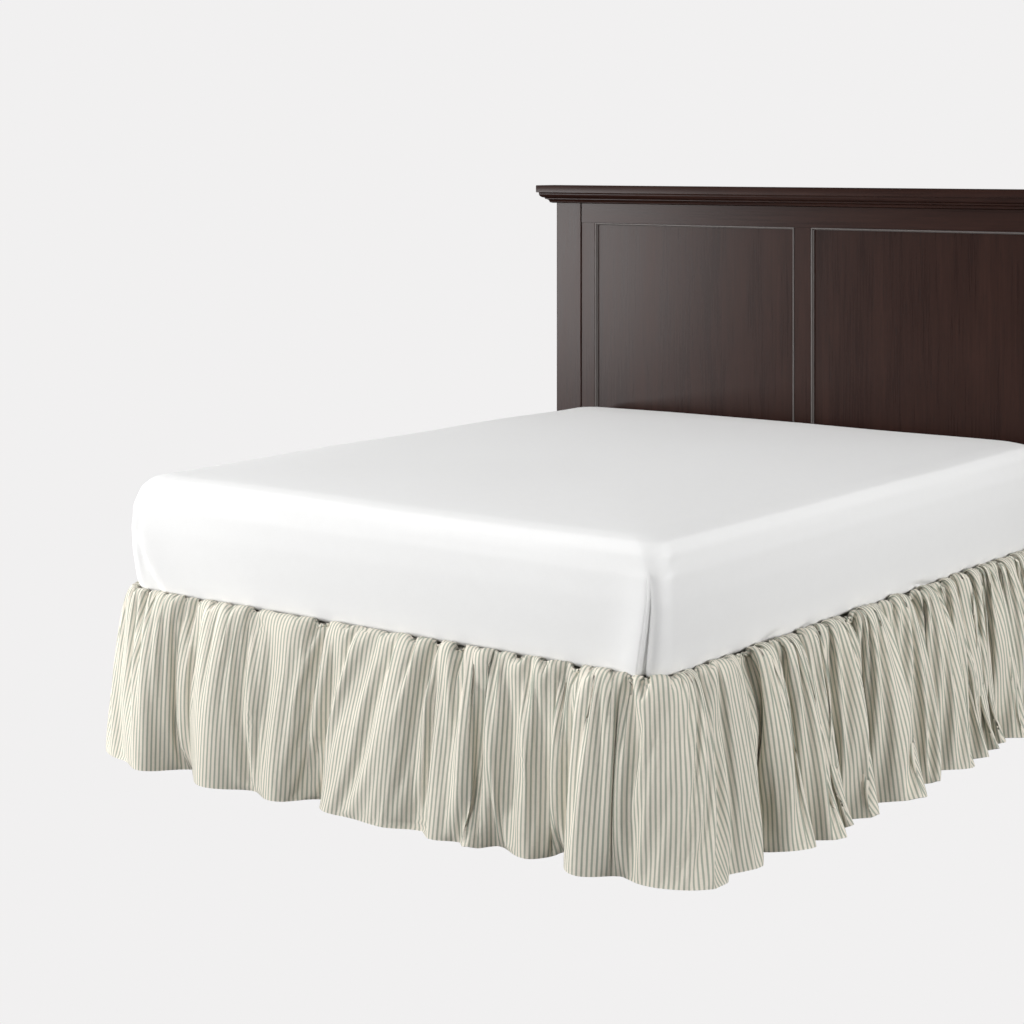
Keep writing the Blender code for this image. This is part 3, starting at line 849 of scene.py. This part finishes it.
DENTS = (
    Dent(0.780, 0.228, 0.030, 0.010, 0.60, 0.0040),
    Dent(-0.700, 0.110, 0.014, 0.060, -0.35, 0.0030),
    Dent(1.050, 0.006, 0.020, 0.007, 0.00, 0.0060),
    Dent(1.195, 0.012, 0.034, 0.011, 0.25, 0.0110),
    Dent(1.370, 0.010, 0.030, 0.008, 0.10, 0.0070),
    Dent(1.560, 0.006, 0.040, 0.006, 0.00, 0.0050),
    Dent(1.985, 0.014, 0.060, 0.007, -0.12, 0.0090),
    Dent(2.240, 0.008, 0.045, 0.007, 0.05, 0.0060),
    Dent(-0.250, 0.004, 0.060, 0.006, 0.00, 0.0040),
    Dent(0.330, 0.004, 0.080, 0.006, 0.00, 0.0040),
    Dent(-1.300, 0.010, 0.035, 0.008, 0.10, 0.0080),
    Dent(-1.900, 0.010, 0.045, 0.008, -0.10, 0.0080),
)
print(len(PLEATS), "pleats and", len(DENTS), "dents")
PLEAT_OUT, PLEAT_IN = 0.35, 0.65         # shares of its depth on each side of a pleat's edge
PLEAT_END = 0.01                         # height over which a pleat closes at its top
RELIEF_UNTIL = (0.03, 0.08)              # insets between which pleats and dents die away
PUFFINESS, MOST_PUFF, PUFF_WAVE = 0.0016, 0.002, 0.11
SIDE_PUFF, SIDE_UNTIL = 0.8, 0.06        # puff of the side, and the inset where that ends
UNDERSIDE_UNTIL, TOP_FROM = 0.001, 0.25  # heights that part underside, side and top


def pleat_relief(pleat, run, height):
    """Out on one side of the pleat's edge and in on the other, fading away from it."""
    share = np.clip((height - pleat.low[1]) / (pleat.high[1] - pleat.low[1]), 0, 1)
    gap = run - (pleat.low[0] + (pleat.high[0] - pleat.low[0]) * share)
    edge = 2 * smoothstep(gap, -pleat.edge, pleat.edge) - 1
    fade = np.where(gap < 0, np.exp(-(gap / pleat.left) ** 2), np.exp(-(gap / pleat.right) ** 2))
    side = np.where(gap < 0, PLEAT_OUT, PLEAT_IN)
    end = 1 - smoothstep(height, pleat.high[1], pleat.high[1] + PLEAT_END)
    return -pleat.depth * edge * fade * np.sqrt(1 - share) * side * end


def dent_relief(dent, run, height):
    """A soft oval dent, tilted by its slope."""
    rise = height - dent.height - dent.slope * (run - dent.run)
    return -dent.depth * np.exp(-((run - dent.run) / dent.reach) ** 2 - (rise / dent.rise) ** 2)


def soft_waves(rng, places, reach, count=14):
    """Sum of a few soft waves of random direction, about -1 to 1."""
    total = np.zeros(places.shape[:-1])
    for _ in range(count):
        direction = rng.normal(size=3)
        direction *= rng.uniform(0.6, 1.5) / reach / np.linalg.norm(direction)
        total += np.cos(places @ direction + rng.uniform(0, 2 * pi))
    return total / np.sqrt(count)


# %% Make the mattress
MATTRESS_SPOTS = (Spot(0.728, 0.0022, 0.035, 0.12), Spot(2.705, 0.004, 0.03, 0.12),
                  Spot(1.5, 0.012, 0.75, 0.90))
runs = ring_runs(MATTRESS_HALF, MATTRESS_CORNER, MATTRESS_SPOTS)


def sheet_relief(inset, height):
    """All pleats and dents of one ring."""
    relief = sum(pleat_relief(pleat, runs, height) for pleat in PLEATS)
    relief += sum(dent_relief(dent, runs, height) for dent in DENTS)
    return relief * (1 - smoothstep(inset, *RELIEF_UNTIL))


section, section_reach = ring_profile(MATTRESS_RINGS, 76, 0.006)
net = stack_rings(section, runs, MATTRESS_HALF, MATTRESS_CORNER, MATTRESS_MIDDLE_Y,
                  corners("mattress")[0].z, sheet_relief)
off_underside, on_top = section[:, 1] > UNDERSIDE_UNTIL, section[:, 1] > TOP_FROM
on_flank = section[:, 0] < SIDE_UNTIL
rise = PUFFINESS * soft_waves(rng, net, PUFF_WAVE) * off_underside[:, None]
net[..., 2] += np.clip(rise, -MOST_PUFF, MOST_PUFF) * on_top[:, None]
net[..., :2] += net[..., :2] * (SIDE_PUFF * rise * on_flank[:, None])[..., None]
mattress = ring_piece("sheeted_mattress", net, runs, section_reach)
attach(mattress, "root")
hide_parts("mattress")
print("mattress of", len(mattress.data.polygons), "faces")

# %% [markdown]
# ## Deck and box spring
#
# The deck is the flat middle of the bed skirt. It lies on the box spring, under the
# mattress, and its edge is where the ruffle is sewn on. It is modelled as a real thin
# sheet with a hem line, though little of it is seen. The box spring is a closed cushion on
# a hard frame: flat sides in a thin cover, with a round piping sewn in along its edges.

# %% Make the deck
def half_and_middle(low, high):
    """Half width and half length of a box, and the Y of its middle."""
    return ((high.x - low.x) / 2, (high.y - low.y) / 2), (high.y + low.y) / 2


DECK_HALF, DECK_MIDDLE_Y = half_and_middle(deck_low, deck_high)
DECK_CORNER = 0.055
DECK_LIFT = 0.0008                       # the sheet lies this far above the node's underside
HEM_LINE, HEM_RIDGE = (0.030, 0.028), 0.0003
DECK_RINGS = (0.758, 0.60, 0.45, 0.30, 0.20, 0.12, 0.07, 0.045, 0.032, *HEM_LINE, 0.016,
              0.008, 0.003, 0.0006)[::-1]
DECK_SPOTS = (Spot(0.75, 0.006, 0.03, 0.12), Spot(2.69, 0.006, 0.03, 0.12))
deck_runs = ring_runs(DECK_HALF, DECK_CORNER, DECK_SPOTS)
section = [Ring(inset, HEM_RIDGE if inset in HEM_LINE else 0.0, max(DECK_CORNER - inset, 0.002))
           for inset in DECK_RINGS]
net = stack_rings(section, deck_runs, DECK_HALF, DECK_CORNER, DECK_MIDDLE_Y,
                  deck_low.z + DECK_LIFT)
deck = net_piece("deck_sheet", np.concatenate([net, net[:, :1]], 1),
                 np.append(deck_runs, -deck_runs[0]), np.array(DECK_RINGS))
# Within this width only the slit in the middle is a whole ring, so the outer rim stays open.
mend(deck, is_hole=lambda edge: abs(edge.verts[0].co.x) < 0.3)
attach(deck, "root")
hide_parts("deck")
print("deck", [round(2 * half, 3) for half in DECK_HALF])

# %% Make the box spring and its piping
box_low, box_high = corners("box_spring")
BOX_HALF, BOX_MIDDLE_Y = half_and_middle(box_low, box_high)
BOX_CORNER = 0.050
PIPING, PIPING_INSET, PIPING_OFF = 0.0035, 0.004, 0.012     # radius, and where it is sewn in
box_height = box_high.z - box_low.z
BOX_RINGS = (
    Ring(0.742, 0.000, 0.003), Ring(0.012, 0.000, 0.044), Ring(0.004, 0.004, 0.048),
    Ring(0.003, 0.012, 0.050), Ring(0.001, box_height / 2, 0.050),
    Ring(0.003, box_height - 0.012, 0.050), Ring(0.004, box_height - 0.004, 0.048),
    Ring(0.012, box_height, 0.044), Ring(0.742, box_height, 0.003),
)
BOX_SPOTS = (Spot(0.73, 0.006, 0.03, 0.10), Spot(2.70, 0.006, 0.03, 0.10))
box_runs = ring_runs(BOX_HALF, BOX_CORNER, BOX_SPOTS)
section, section_reach = ring_profile(BOX_RINGS, 30, 0.002)
net = stack_rings(section, box_runs, BOX_HALF, BOX_CORNER, BOX_MIDDLE_Y, box_low.z)
box_spring = ring_piece("covered_box_spring", net, box_runs, section_reach)
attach(box_spring, "root")
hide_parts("box_spring")


def ring_tube(name, height, sides=8):
    """Piping: a closed tube that follows the box spring's edge at a height."""
    place, outward = ring_place(box_runs, PIPING_INSET, BOX_CORNER, BOX_HALF, BOX_CORNER)
    turn = np.linspace(0, -2 * pi, sides + 1)
    rows = []
    for angle in turn:
        out = place + outward * PIPING * np.cos(angle) + (0, BOX_MIDDLE_Y)
        level = np.full((len(box_runs), 1), height + PIPING * np.sin(angle))
        rows.append(np.concatenate([out, level], 1))
    return ring_piece(name, np.array(rows), box_runs, turn * PIPING)


PIPING_HEIGHTS = (("box_piping_low", box_low.z + PIPING_OFF),
                  ("box_piping_high", box_high.z - PIPING_OFF))
pipings = [ring_tube(name, height) for name, height in PIPING_HEIGHTS]
for piping in pipings:
    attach(piping, "root")
print("box spring", round(box_height, 3), "m high, with two runs of piping")

# %% [markdown]
# ## Headboard
#
# The headboard is joinery: two posts, a frame of stiles and rails, two flat panels set
# back in it, and a cornice over the top. Each board is a box on the frame's own place, with
# its long edges eased as a sander leaves them, because it is that thin line of light that
# shows where one board ends. Round each panel runs a small bead moulding. The cornice is
# one profile swept round three sides with mitred corners.

# %% Make the boards
Board = namedtuple("Board", "node ease")
UPRIGHT_BOARDS = (
    Board("headboard_post_left", 0.0028), Board("headboard_post_right", 0.0028),
    Board("headboard_stile_left", 0.0018), Board("headboard_stile_right", 0.0018),
    Board("headboard_mid_stile", 0.0012), Board("headboard_panel_left", 0.0008),
    Board("headboard_panel_right", 0.0008),
)
CROSS_BOARDS = (Board("headboard_top_rail", 0.0003), Board("headboard_bottom_rail", 0.0003))


def make_board(row):
    """A box on the frame's own place, its long edges eased."""
    low, high = corners(row.node)
    size = high - low
    bm = bmesh.new()
    bmesh.ops.create_cube(bm, size=1.0)
    bmesh.ops.scale(bm, vec=size, verts=bm.verts)
    bmesh.ops.translate(bm, vec=(high + low) / 2, verts=bm.verts)
    long_edges = [edge for edge in bm.edges if edge.calc_length() > 0.99 * max(size)]
    eased = bmesh.ops.bevel(bm, geom=long_edges, offset=row.ease, segments=4, profile=0.5,
                            affect="EDGES", clamp_overlap=True, material=-1)
    for face in eased["faces"]:
        face.smooth = True
    piece = finish_mesh(row.node + "_board", bm)
    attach(piece, "root")
    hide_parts(row.node)
    return piece


upright_wood = [make_board(row) for row in UPRIGHT_BOARDS]
cross_wood = [make_board(row) for row in CROSS_BOARDS]
print(len(upright_wood) + len(cross_wood), "boards")

# %% Draw the profiles of beads and cornice
HALF_TURN = [pi * step / 8 for step in range(9)]
QUARTER_TURN = [pi / 2 * step / 9 for step in range(10)]
BEAD_OFF = 0.0003                                    # keeps the bead clear of panel and frame
BEAD_WIDTH, BEAD_FOOT, BEAD_PROUD = 0.0042, 0.0084, 0.0018
BEAD_ROUND = [(BEAD_OFF + BEAD_WIDTH * (1 - cos(turn)) / 2, BEAD_FOOT + BEAD_PROUD * sin(turn))
              for turn in HALF_TURN]
BEAD_PROFILE = [(BEAD_OFF, 0.0000), *BEAD_ROUND,      # in from the frame, and proud
                (0.0046, 0.0030), (0.0056, 0.0012), (0.0072, 0.0000)]
CORNICE_OVERHANG = 0.048
COVE = [(0.0545 - 0.010 * sin(turn), 0.027 - 0.011 * cos(turn)) for turn in QUARTER_TURN]
OVOLO = [(0.0400 - 0.012 * (1 - cos(turn)), 0.028 + 0.013 * sin(turn)) for turn in QUARTER_TURN]
CORNICE_PROFILE = [(0.0573, 0.008), (0.0560, 0.013), *COVE,      # below the top, and out
                   (0.0420, 0.027), (0.0405, 0.0275), *OVOLO,
                   (0.0240, 0.0412), (0.0235, 0.0415), (0.0230, 0.0474), (0.0224, 0.0480),
                   (0.0016, 0.0480), (0.0006, 0.0476), (0.0000, 0.0465)]
print("bead of", len(BEAD_PROFILE), "points and cornice of", len(CORNICE_PROFILE))

# %% Sweep the beads and the cornice
SHADE_ANGLE = 35
panel_front = corners("headboard_panel_left")[0].y
cornice_low, cornice_high = corners("headboard_cornice")


def swept(name, net):
    """A mesh of the profile's lines; its UV map is rough, as wood reads Object coordinates."""
    rows, columns = net.shape[:2]
    return net_piece(name, net, np.arange(columns) * 0.1, np.arange(rows) * 0.001)


def make_bead(side):
    """A small moulding round one panel, mitred at its four corners."""
    low, high = corners("headboard_panel_" + side)
    rows = []
    for inward, proud in BEAD_PROFILE:
        left, right = low.x + inward, high.x - inward
        bottom, top = low.z + inward, high.z - inward
        mitres = ((left, bottom), (right, bottom), (right, top), (left, top), (left, bottom))
        rows.append([(x, panel_front + BEAD_OFF - proud, z) for x, z in mitres])
    rows.append(rows[0])
    bead = mend(swept("panel_bead_" + side, np.array(rows)), shade_angle=SHADE_ANGLE)
    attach(bead, "root")
    return bead


def make_cornice():
    """The cornice swept round three sides, with its flat top, underside and back."""
    half, front = cornice_high.x - CORNICE_OVERHANG, cornice_low.y + CORNICE_OVERHANG
    rows = []
    for below, out in CORNICE_PROFILE:
        z = cornice_high.z - below
        rows.append([(-half - out, cornice_high.y, z), (-half - out, front - out, z),
                     (half + out, front - out, z), (half + out, cornice_high.y, z)])
    piece = swept("cornice_moulding", np.array(rows))
    bm = bmesh.new()
    bm.from_mesh(piece.data)
    for level in (cornice_low.z, cornice_high.z):
        flat = [vert for vert in bm.verts if abs(vert.co.z - level) < 1e-5]
        bmesh.ops.contextual_create(bm, geom=flat)
    bm.to_mesh(piece.data)
    bm.free()
    mend(piece, shade_angle=SHADE_ANGLE)
    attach(piece, "root")
    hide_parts("headboard_cornice")
    return piece


beads = [make_bead(side) for side in ("left", "right")]
cornice = make_cornice()
print("beads and cornice on", round(cornice_high.x * 2, 3), "m")

# %% [markdown]
# ## Materials
#
# Three effects are shared, so each is a node group: the weave of a cloth, read from the
# flat cloth's own measures, the grain of wood, and a light settling of dust that softens
# anything facing up. The stripes belong to the ruffle alone. A group gives only tones and
# heights, and each material joins them to its own surface.

# %% Helpers for sums, mixes and noise
def calculate(tree, operation, first, second=None, third=None):
    """A maths node on links or plain numbers, returning its result."""
    made = add_node(tree, "Math", operation)
    for socket, value in zip(made.inputs, (first, second, third)):
        if hasattr(value, "is_linked"):
            tree.links.new(value, socket)
        elif value is not None:
            socket.default_value = value
    return made.outputs[0]


def above(tree, value, limit):
    """How far a value lies above a limit, and 0 where it lies below."""
    return calculate(tree, "MAXIMUM", calculate(tree, "SUBTRACT", value, limit), 0.0)


def blend_colours(tree, share, first, second):
    """A colour mix on links or plain values, returning its result."""
    made = tree.nodes.new("ShaderNodeMix")
    made.data_type = "RGBA"
    for index, value in ((0, share), (6, first), (7, second)):
        if hasattr(value, "is_linked"):
            tree.links.new(value, made.inputs[index])
        elif isinstance(value, float):
            made.inputs[index].default_value = value
        else:
            made.inputs[index].default_value = (*value, 1)
    return made.outputs[2]


def noise(tree, place, scale, detail=3.0, roughness=0.5, stretch=None):
    """Noise from 0 to 1 at a scale in waves a metre, stretched where asked."""
    if stretch:
        squeeze = add_node(tree, "Mapping", Scale=stretch)
        tree.links.new(place, squeeze.inputs["Vector"])
        place = squeeze.outputs["Vector"]
    made = add_node(tree, "TexNoise", Scale=scale, Detail=detail, Roughness=roughness)
    tree.links.new(place, made.inputs["Vector"])
    return made.outputs["Fac"]


# %% Weave, grain and dust as shared groups
def start_group(name, inputs, outputs):
    """A group tree with float inputs but for a vector called Place, and float outputs."""
    tree = bpy.data.node_groups.new(name, "ShaderNodeTree")
    for label, value in inputs.items():
        kind = "NodeSocketVector" if label == "Place" else "NodeSocketFloat"
        socket = tree.interface.new_socket(label, in_out="INPUT", socket_type=kind)
        if label != "Place":
            socket.default_value = value
    for label in outputs:
        tree.interface.new_socket(label, in_out="OUTPUT", socket_type="NodeSocketFloat")
    return tree, tree.nodes.new("NodeGroupInput"), tree.nodes.new("NodeGroupOutput")


def weave_group():
    """Over-and-under threads, slubs along them, and a faint mottle."""
    tree, source, sink = start_group("woven_threads", {"Place": None, "Pitch": 0.0006},
                                     ("Height", "Tone"))
    place = source.outputs["Place"]
    split = add_node(tree, "SeparateXYZ")
    tree.links.new(place, split.inputs[0])
    turns = [calculate(tree, "DIVIDE", calculate(tree, "MULTIPLY", split.outputs[axis], 2 * pi),
                       source.outputs["Pitch"]) for axis in (0, 1)]
    over = calculate(tree, "MULTIPLY", calculate(tree, "SINE", turns[0]),
                     calculate(tree, "SINE", turns[1]))
    slub_across = noise(tree, place, 900, detail=2.0, stretch=(0.06, 1, 1))
    slub_down = noise(tree, place, 900, detail=2.0, stretch=(1, 0.06, 1))
    slubs = calculate(tree, "ADD", slub_across, slub_down)
    height = calculate(tree, "MULTIPLY_ADD", over, 0.22, calculate(tree, "MULTIPLY", slubs, 0.5))
    tree.links.new(height, sink.inputs["Height"])
    mottle = calculate(tree, "MULTIPLY", noise(tree, place, 26, detail=4.0, roughness=0.6), 0.45)
    tone = calculate(tree, "MULTIPLY_ADD", slubs, 0.55, mottle)
    tree.links.new(tone, sink.inputs["Tone"])
    return tree


def grain_group():
    """Long fibres, darker pores and a slow change of tone, running along X."""
    tree, source, sink = start_group("wood_grain", {"Place": None}, ("Tone", "Pores", "Height"))
    place = source.outputs["Place"]
    fibre = noise(tree, place, 150, detail=4.0, roughness=0.62, stretch=(0.035, 1, 1))
    figure = noise(tree, place, 17, detail=3.0, roughness=0.55, stretch=(0.12, 1, 1))
    streak = noise(tree, place, 420, detail=2.0, stretch=(0.045, 1, 1))
    strong = calculate(tree, "MULTIPLY", above(tree, streak, 0.58), 7.0)
    pores = calculate(tree, "SMOOTH_MIN", 1.0, strong, 0.1)
    tone = calculate(tree, "MULTIPLY_ADD", fibre, 0.5, calculate(tree, "MULTIPLY", figure, 0.5))
    tree.links.new(tone, sink.inputs["Tone"])
    tree.links.new(pores, sink.inputs["Pores"])
    height = calculate(tree, "MULTIPLY_ADD", pores, -0.5, calculate(tree, "MULTIPLY", fibre, 0.5))
    tree.links.new(height, sink.inputs["Height"])
    return tree


def dust_group():
    """How much dust lies on a face: patchy, and only where it looks up."""
    tree, source, sink = start_group("settled_dust", {"Place": None}, ("Share",))
    shape = add_node(tree, "NewGeometry")
    split = add_node(tree, "SeparateXYZ")
    tree.links.new(shape.outputs["Normal"], split.inputs[0])
    patches = noise(tree, source.outputs["Place"], 14, detail=4.0, roughness=0.6)
    patchy = calculate(tree, "MULTIPLY", above(tree, split.outputs["Z"], 0.2), patches)
    tree.links.new(calculate(tree, "MULTIPLY", patchy, 1.1), sink.inputs["Share"])
    return tree


GROUPS = {"weave": weave_group(), "grain": grain_group(), "dust": dust_group()}
print("shared groups:", ", ".join(sorted(GROUPS)))


# %% Helpers for materials
def start_material(name, roughness, **surface):
    """A material with one Principled surface and its plain values."""
    made, tree = new_material(name)
    shader = add_node(tree, "BsdfPrincipled", Roughness=roughness, **surface)
    out = tree.nodes.new("ShaderNodeOutputMaterial")
    tree.links.new(shader.outputs[0], out.inputs["Surface"])
    return made, tree, shader


def use_group(tree, name, place, **inputs):
    """Place a shared group in a material, and return its outputs."""
    made = tree.nodes.new("ShaderNodeGroup")
    made.node_tree = GROUPS[name]
    tree.links.new(place, made.inputs["Place"])
    for label, value in inputs.items():
        made.inputs[label].default_value = value
    return made.outputs


def add_bump(tree, shader, height, distance, strength=1.0):
    """Let a height from the nodes tilt the surface's shading."""
    bump = add_node(tree, "Bump", Strength=strength, Distance=distance)
    tree.links.new(height, bump.inputs["Height"])
    tree.links.new(bump.outputs["Normal"], shader.inputs["Normal"])


def flat_cloth(tree):
    """Where each point lay on the flat cloth, in metres."""
    made = tree.nodes.new("ShaderNodeUVMap")
    made.uv_map = "cut"
    return made.outputs["UV"]


def object_place(tree):
    """Where each point lies on the bed, in metres."""
    return tree.nodes.new("ShaderNodeTexCoord").outputs["Object"]


# %% [markdown]
# Ticking is plain-woven cotton whose coloured threads run down the strip, so its stripes
# follow every fold, vary a little in strength and are never quite sharp. An image could
# carry them, but a cosine of the flat cloth's own measure repeats exactly and stays sharp
# from close by. A slow noise makes it waver and a long, thin one frays it. The fitted
# sheet, the deck and the box spring's cover are plain weave in other tones.

# %% Describe the cloths
CREAM, SAGE, THREAD_SHADE = (0.830, 0.770, 0.668), (0.375, 0.405, 0.335), (0.30, 0.28, 0.24)
STRIPE_PITCH, STRIPE_LOW, STRIPE_HIGH = 0.0105, 0.30, 0.70
STRIPE_WEIGHT = 0.36                     # more makes the stripes wider
STRIPE_WOBBLE, STRIPE_FRAY, STRIPE_STRENGTH = 0.0009, 0.35, 0.78
print("a sage stripe every", STRIPE_PITCH * 1000, "mm")


def stripe_share(tree, place):
    """How sage the cloth is: soft-edged stripes whose threads vary in strength."""
    split = add_node(tree, "SeparateXYZ")
    tree.links.new(place, split.inputs[0])
    wobble = calculate(tree, "MULTIPLY", noise(tree, place, 30, detail=2.0), STRIPE_WOBBLE)
    across = calculate(tree, "ADD", split.outputs["X"], wobble)
    turn = calculate(tree, "MULTIPLY", across, 2 * pi / STRIPE_PITCH)
    wave = calculate(tree, "MULTIPLY_ADD", calculate(tree, "COSINE", turn), 0.5, STRIPE_WEIGHT)
    edge = add_node(tree, "MapRange", From_Min=STRIPE_LOW, From_Max=STRIPE_HIGH)
    edge.interpolation_type = "SMOOTHSTEP"
    tree.links.new(wave, edge.inputs["Value"])
    fray = noise(tree, place, 700, detail=2.0, stretch=(1, 0.05, 1))
    strength = calculate(tree, "MULTIPLY_ADD", fray, STRIPE_FRAY, STRIPE_STRENGTH)
    stripe = calculate(tree, "MULTIPLY", edge.outputs[0], strength)
    return calculate(tree, "MINIMUM", stripe, 1.0)


def ticking_material():
    """Cream cotton with woven sage stripes."""
    made, tree, shader = start_material("ticking", 0.86, Sheen_Weight=0.06, Sheen_Roughness=0.5,
                                        Specular_IOR_Level=0.25)
    place = flat_cloth(tree)
    threads = use_group(tree, "weave", place, Pitch=0.0007)
    striped = blend_colours(tree, stripe_share(tree, place), CREAM, SAGE)
    shade = calculate(tree, "MULTIPLY_ADD", threads["Tone"], -0.50, 0.42)
    darker = blend_colours(tree, shade, striped, THREAD_SHADE)
    tree.links.new(darker, shader.inputs["Base Color"])
    add_bump(tree, shader, threads["Height"], 0.00035, 0.7)
    return made


def cloth_material(name, colour, shade, pitch, depth):
    """Plain woven cloth of one colour, its tone darker here and there with the weave's slubs and
    mottle.
    """
    made, tree, shader = start_material(name, 0.88, Sheen_Weight=0.05, Specular_IOR_Level=0.25)
    place = flat_cloth(tree)
    threads = use_group(tree, "weave", place, Pitch=pitch)
    tone = calculate(tree, "MULTIPLY_ADD", threads["Tone"], -0.5, 0.5)
    tree.links.new(blend_colours(tree, tone, colour, shade), shader.inputs["Base Color"])
    add_bump(tree, shader, threads["Height"], depth, 0.6)
    return made


# %% [markdown]
# The headboard's wood is stained so dark that grain and pores only just show under its thin
# satin lacquer. Grain runs along a board, so upright boards and cross boards have a material
# each, with the same pattern turned. The beads have a paler one, a painted highlight that
# stands in for the light line along their rounded tops. The steel frame and its glides are
# hardly seen, but they too have an uneven coat, dust and scuffs.

# %% Describe wood, steel and plastic
ESPRESSO_DARK, ESPRESSO_LIGHT = (0.0170, 0.0064, 0.0046), (0.0290, 0.0111, 0.0077)
ESPRESSO_PORE = (0.0085, 0.0055, 0.0050)
# The pale grey is dust on the wood, and on the beads also a painted highlight.
WOOD_DUST_AND_HIGHLIGHT, DUST_ON_STEEL = (0.35, 0.34, 0.33), (0.30, 0.29, 0.28)
STEEL_DARK, STEEL_LIGHT = (0.020, 0.020, 0.021), (0.036, 0.036, 0.038)
PLASTIC_DARK, PLASTIC_LIGHT = (0.030, 0.029, 0.028), (0.040, 0.039, 0.037)
PLASTIC_SCUFFED = (0.16, 0.155, 0.15)


def espresso_material(name, along, painted_highlight=0.0):
    """Dark stained wood under a thin satin lacquer, its grain along the board, paler by any
    painted highlight.
    """
    made, tree, shader = start_material(name, 0.42, Specular_IOR_Level=0.115, Coat_Weight=0.03,
                                        Coat_Roughness=0.34)
    place = object_place(tree)
    if along == "Z":
        turn = add_node(tree, "Mapping", Rotation=(0, pi / 2, 0))
        tree.links.new(place, turn.inputs["Vector"])
        place = turn.outputs["Vector"]
    grain = use_group(tree, "grain", place)
    tone = add_node(tree, "MapRange", From_Min=0.36, From_Max=0.64)
    tree.links.new(grain["Tone"], tone.inputs["Value"])
    wood = blend_colours(tree, tone.outputs[0], ESPRESSO_DARK, ESPRESSO_LIGHT)
    pores = calculate(tree, "MULTIPLY", grain["Pores"], 0.4)
    wood = blend_colours(tree, pores, wood, ESPRESSO_PORE)
    dust = use_group(tree, "dust", place)["Share"]
    # Paler with dust where a face looks up, and on the beads by a painted highlight as well.
    pale = calculate(tree, "MULTIPLY_ADD", dust, 0.05, painted_highlight)
    wood = blend_colours(tree, pale, wood, WOOD_DUST_AND_HIGHLIGHT)
    tree.links.new(wood, shader.inputs["Base Color"])
    dusty = calculate(tree, "MULTIPLY_ADD", dust, 0.2, 0.23)
    rough = calculate(tree, "MULTIPLY_ADD", grain["Tone"], 0.10, dusty)
    tree.links.new(rough, shader.inputs["Roughness"])
    add_bump(tree, shader, grain["Height"], 0.00012, 0.3)
    return made


def steel_material():
    """Powder-coated steel, a little uneven, with dust on its flanges."""
    made, tree, shader = start_material("steel", 0.5, Metallic=0.0, Specular_IOR_Level=0.5)
    place = object_place(tree)
    dust = calculate(tree, "MULTIPLY", use_group(tree, "dust", place)["Share"], 0.30)
    coat = blend_colours(tree, noise(tree, place, 35, detail=4.0), STEEL_DARK, STEEL_LIGHT)
    coat = blend_colours(tree, dust, coat, DUST_ON_STEEL)
    tree.links.new(coat, shader.inputs["Base Color"])
    speckle = noise(tree, place, 900, detail=2.0)
    rough = calculate(tree, "MULTIPLY_ADD", speckle, 0.25, 0.38)
    tree.links.new(rough, shader.inputs["Roughness"])
    add_bump(tree, shader, speckle, 0.0001, 0.5)
    return made


def plastic_material():
    """Moulded glides: fine matt texture, scuffed pale near the floor."""
    made, tree, shader = start_material("glide_plastic", 0.55)
    place = object_place(tree)
    split = add_node(tree, "SeparateXYZ")
    tree.links.new(place, split.inputs[0])
    low = above(tree, 1.0, calculate(tree, "MULTIPLY", split.outputs["Z"], 90.0))
    scuffs = noise(tree, place, 260, detail=3.0, roughness=0.6, stretch=(1, 1, 0.2))
    scuff = calculate(tree, "MULTIPLY", low, scuffs)
    plain = blend_colours(tree, noise(tree, place, 60), PLASTIC_DARK, PLASTIC_LIGHT)
    worn = blend_colours(tree, scuff, plain, PLASTIC_SCUFFED)
    tree.links.new(worn, shader.inputs["Base Color"])
    add_bump(tree, shader, noise(tree, place, 1500), 0.0001, 0.4)
    return made


# %% Make and assign the materials
SHEET_WHITE, SHEET_SHADE = (0.880, 0.878, 0.872), (0.780, 0.775, 0.765)
DECK_CREAM, DECK_SHADE = (0.66, 0.63, 0.57), (0.52, 0.49, 0.44)
BOX_ECRU, BOX_SHADE = (0.62, 0.60, 0.55), (0.45, 0.43, 0.39)
COVERS = {
    "ticking": ticking_material(),
    "sheet": cloth_material("sheet", SHEET_WHITE, SHEET_SHADE, 0.0005, 0.00015),
    "deck_cloth": cloth_material("deck_cloth", DECK_CREAM, DECK_SHADE, 0.0008, 0.0003),
    "box_cloth": cloth_material("box_cloth", BOX_ECRU, BOX_SHADE, 0.0009, 0.0003),
    "steel": steel_material(),
    "glide_plastic": plastic_material(),
    "espresso_upright": espresso_material("espresso_upright", "Z"),
    "espresso_cross": espresso_material("espresso_cross", "X"),
    # the beads' wood, made paler as a painted highlight along their rounded tops
    "espresso_painted_highlight": espresso_material("espresso_painted_highlight", "Z", 0.30),
}


def dress(piece, cover):
    """Give a piece its one material."""
    piece.data.materials.clear()
    piece.data.materials.append(COVERS[cover])


dress(ruffle, "ticking")
dress(mattress, "sheet")
dress(deck, "deck_cloth")
for piece in [box_spring, *pipings]:
    dress(piece, "box_cloth")
for piece in upright_wood:
    dress(piece, "espresso_upright")
# The beads get the wood with a painted highlight, for the light lines on their rounded tops.
for piece in beads:
    dress(piece, "espresso_painted_highlight")
for piece in cross_wood + [cornice]:
    dress(piece, "espresso_cross")
for row in frame["record"]["subparts"]:
    if row["material_slot"] in ("steel", "glide_plastic"):
        node = frame["nodes"][row["node"]]
        for place in node.material_slots:
            place.material = COVERS[row["material_slot"]]
print(len(COVERS), "materials")
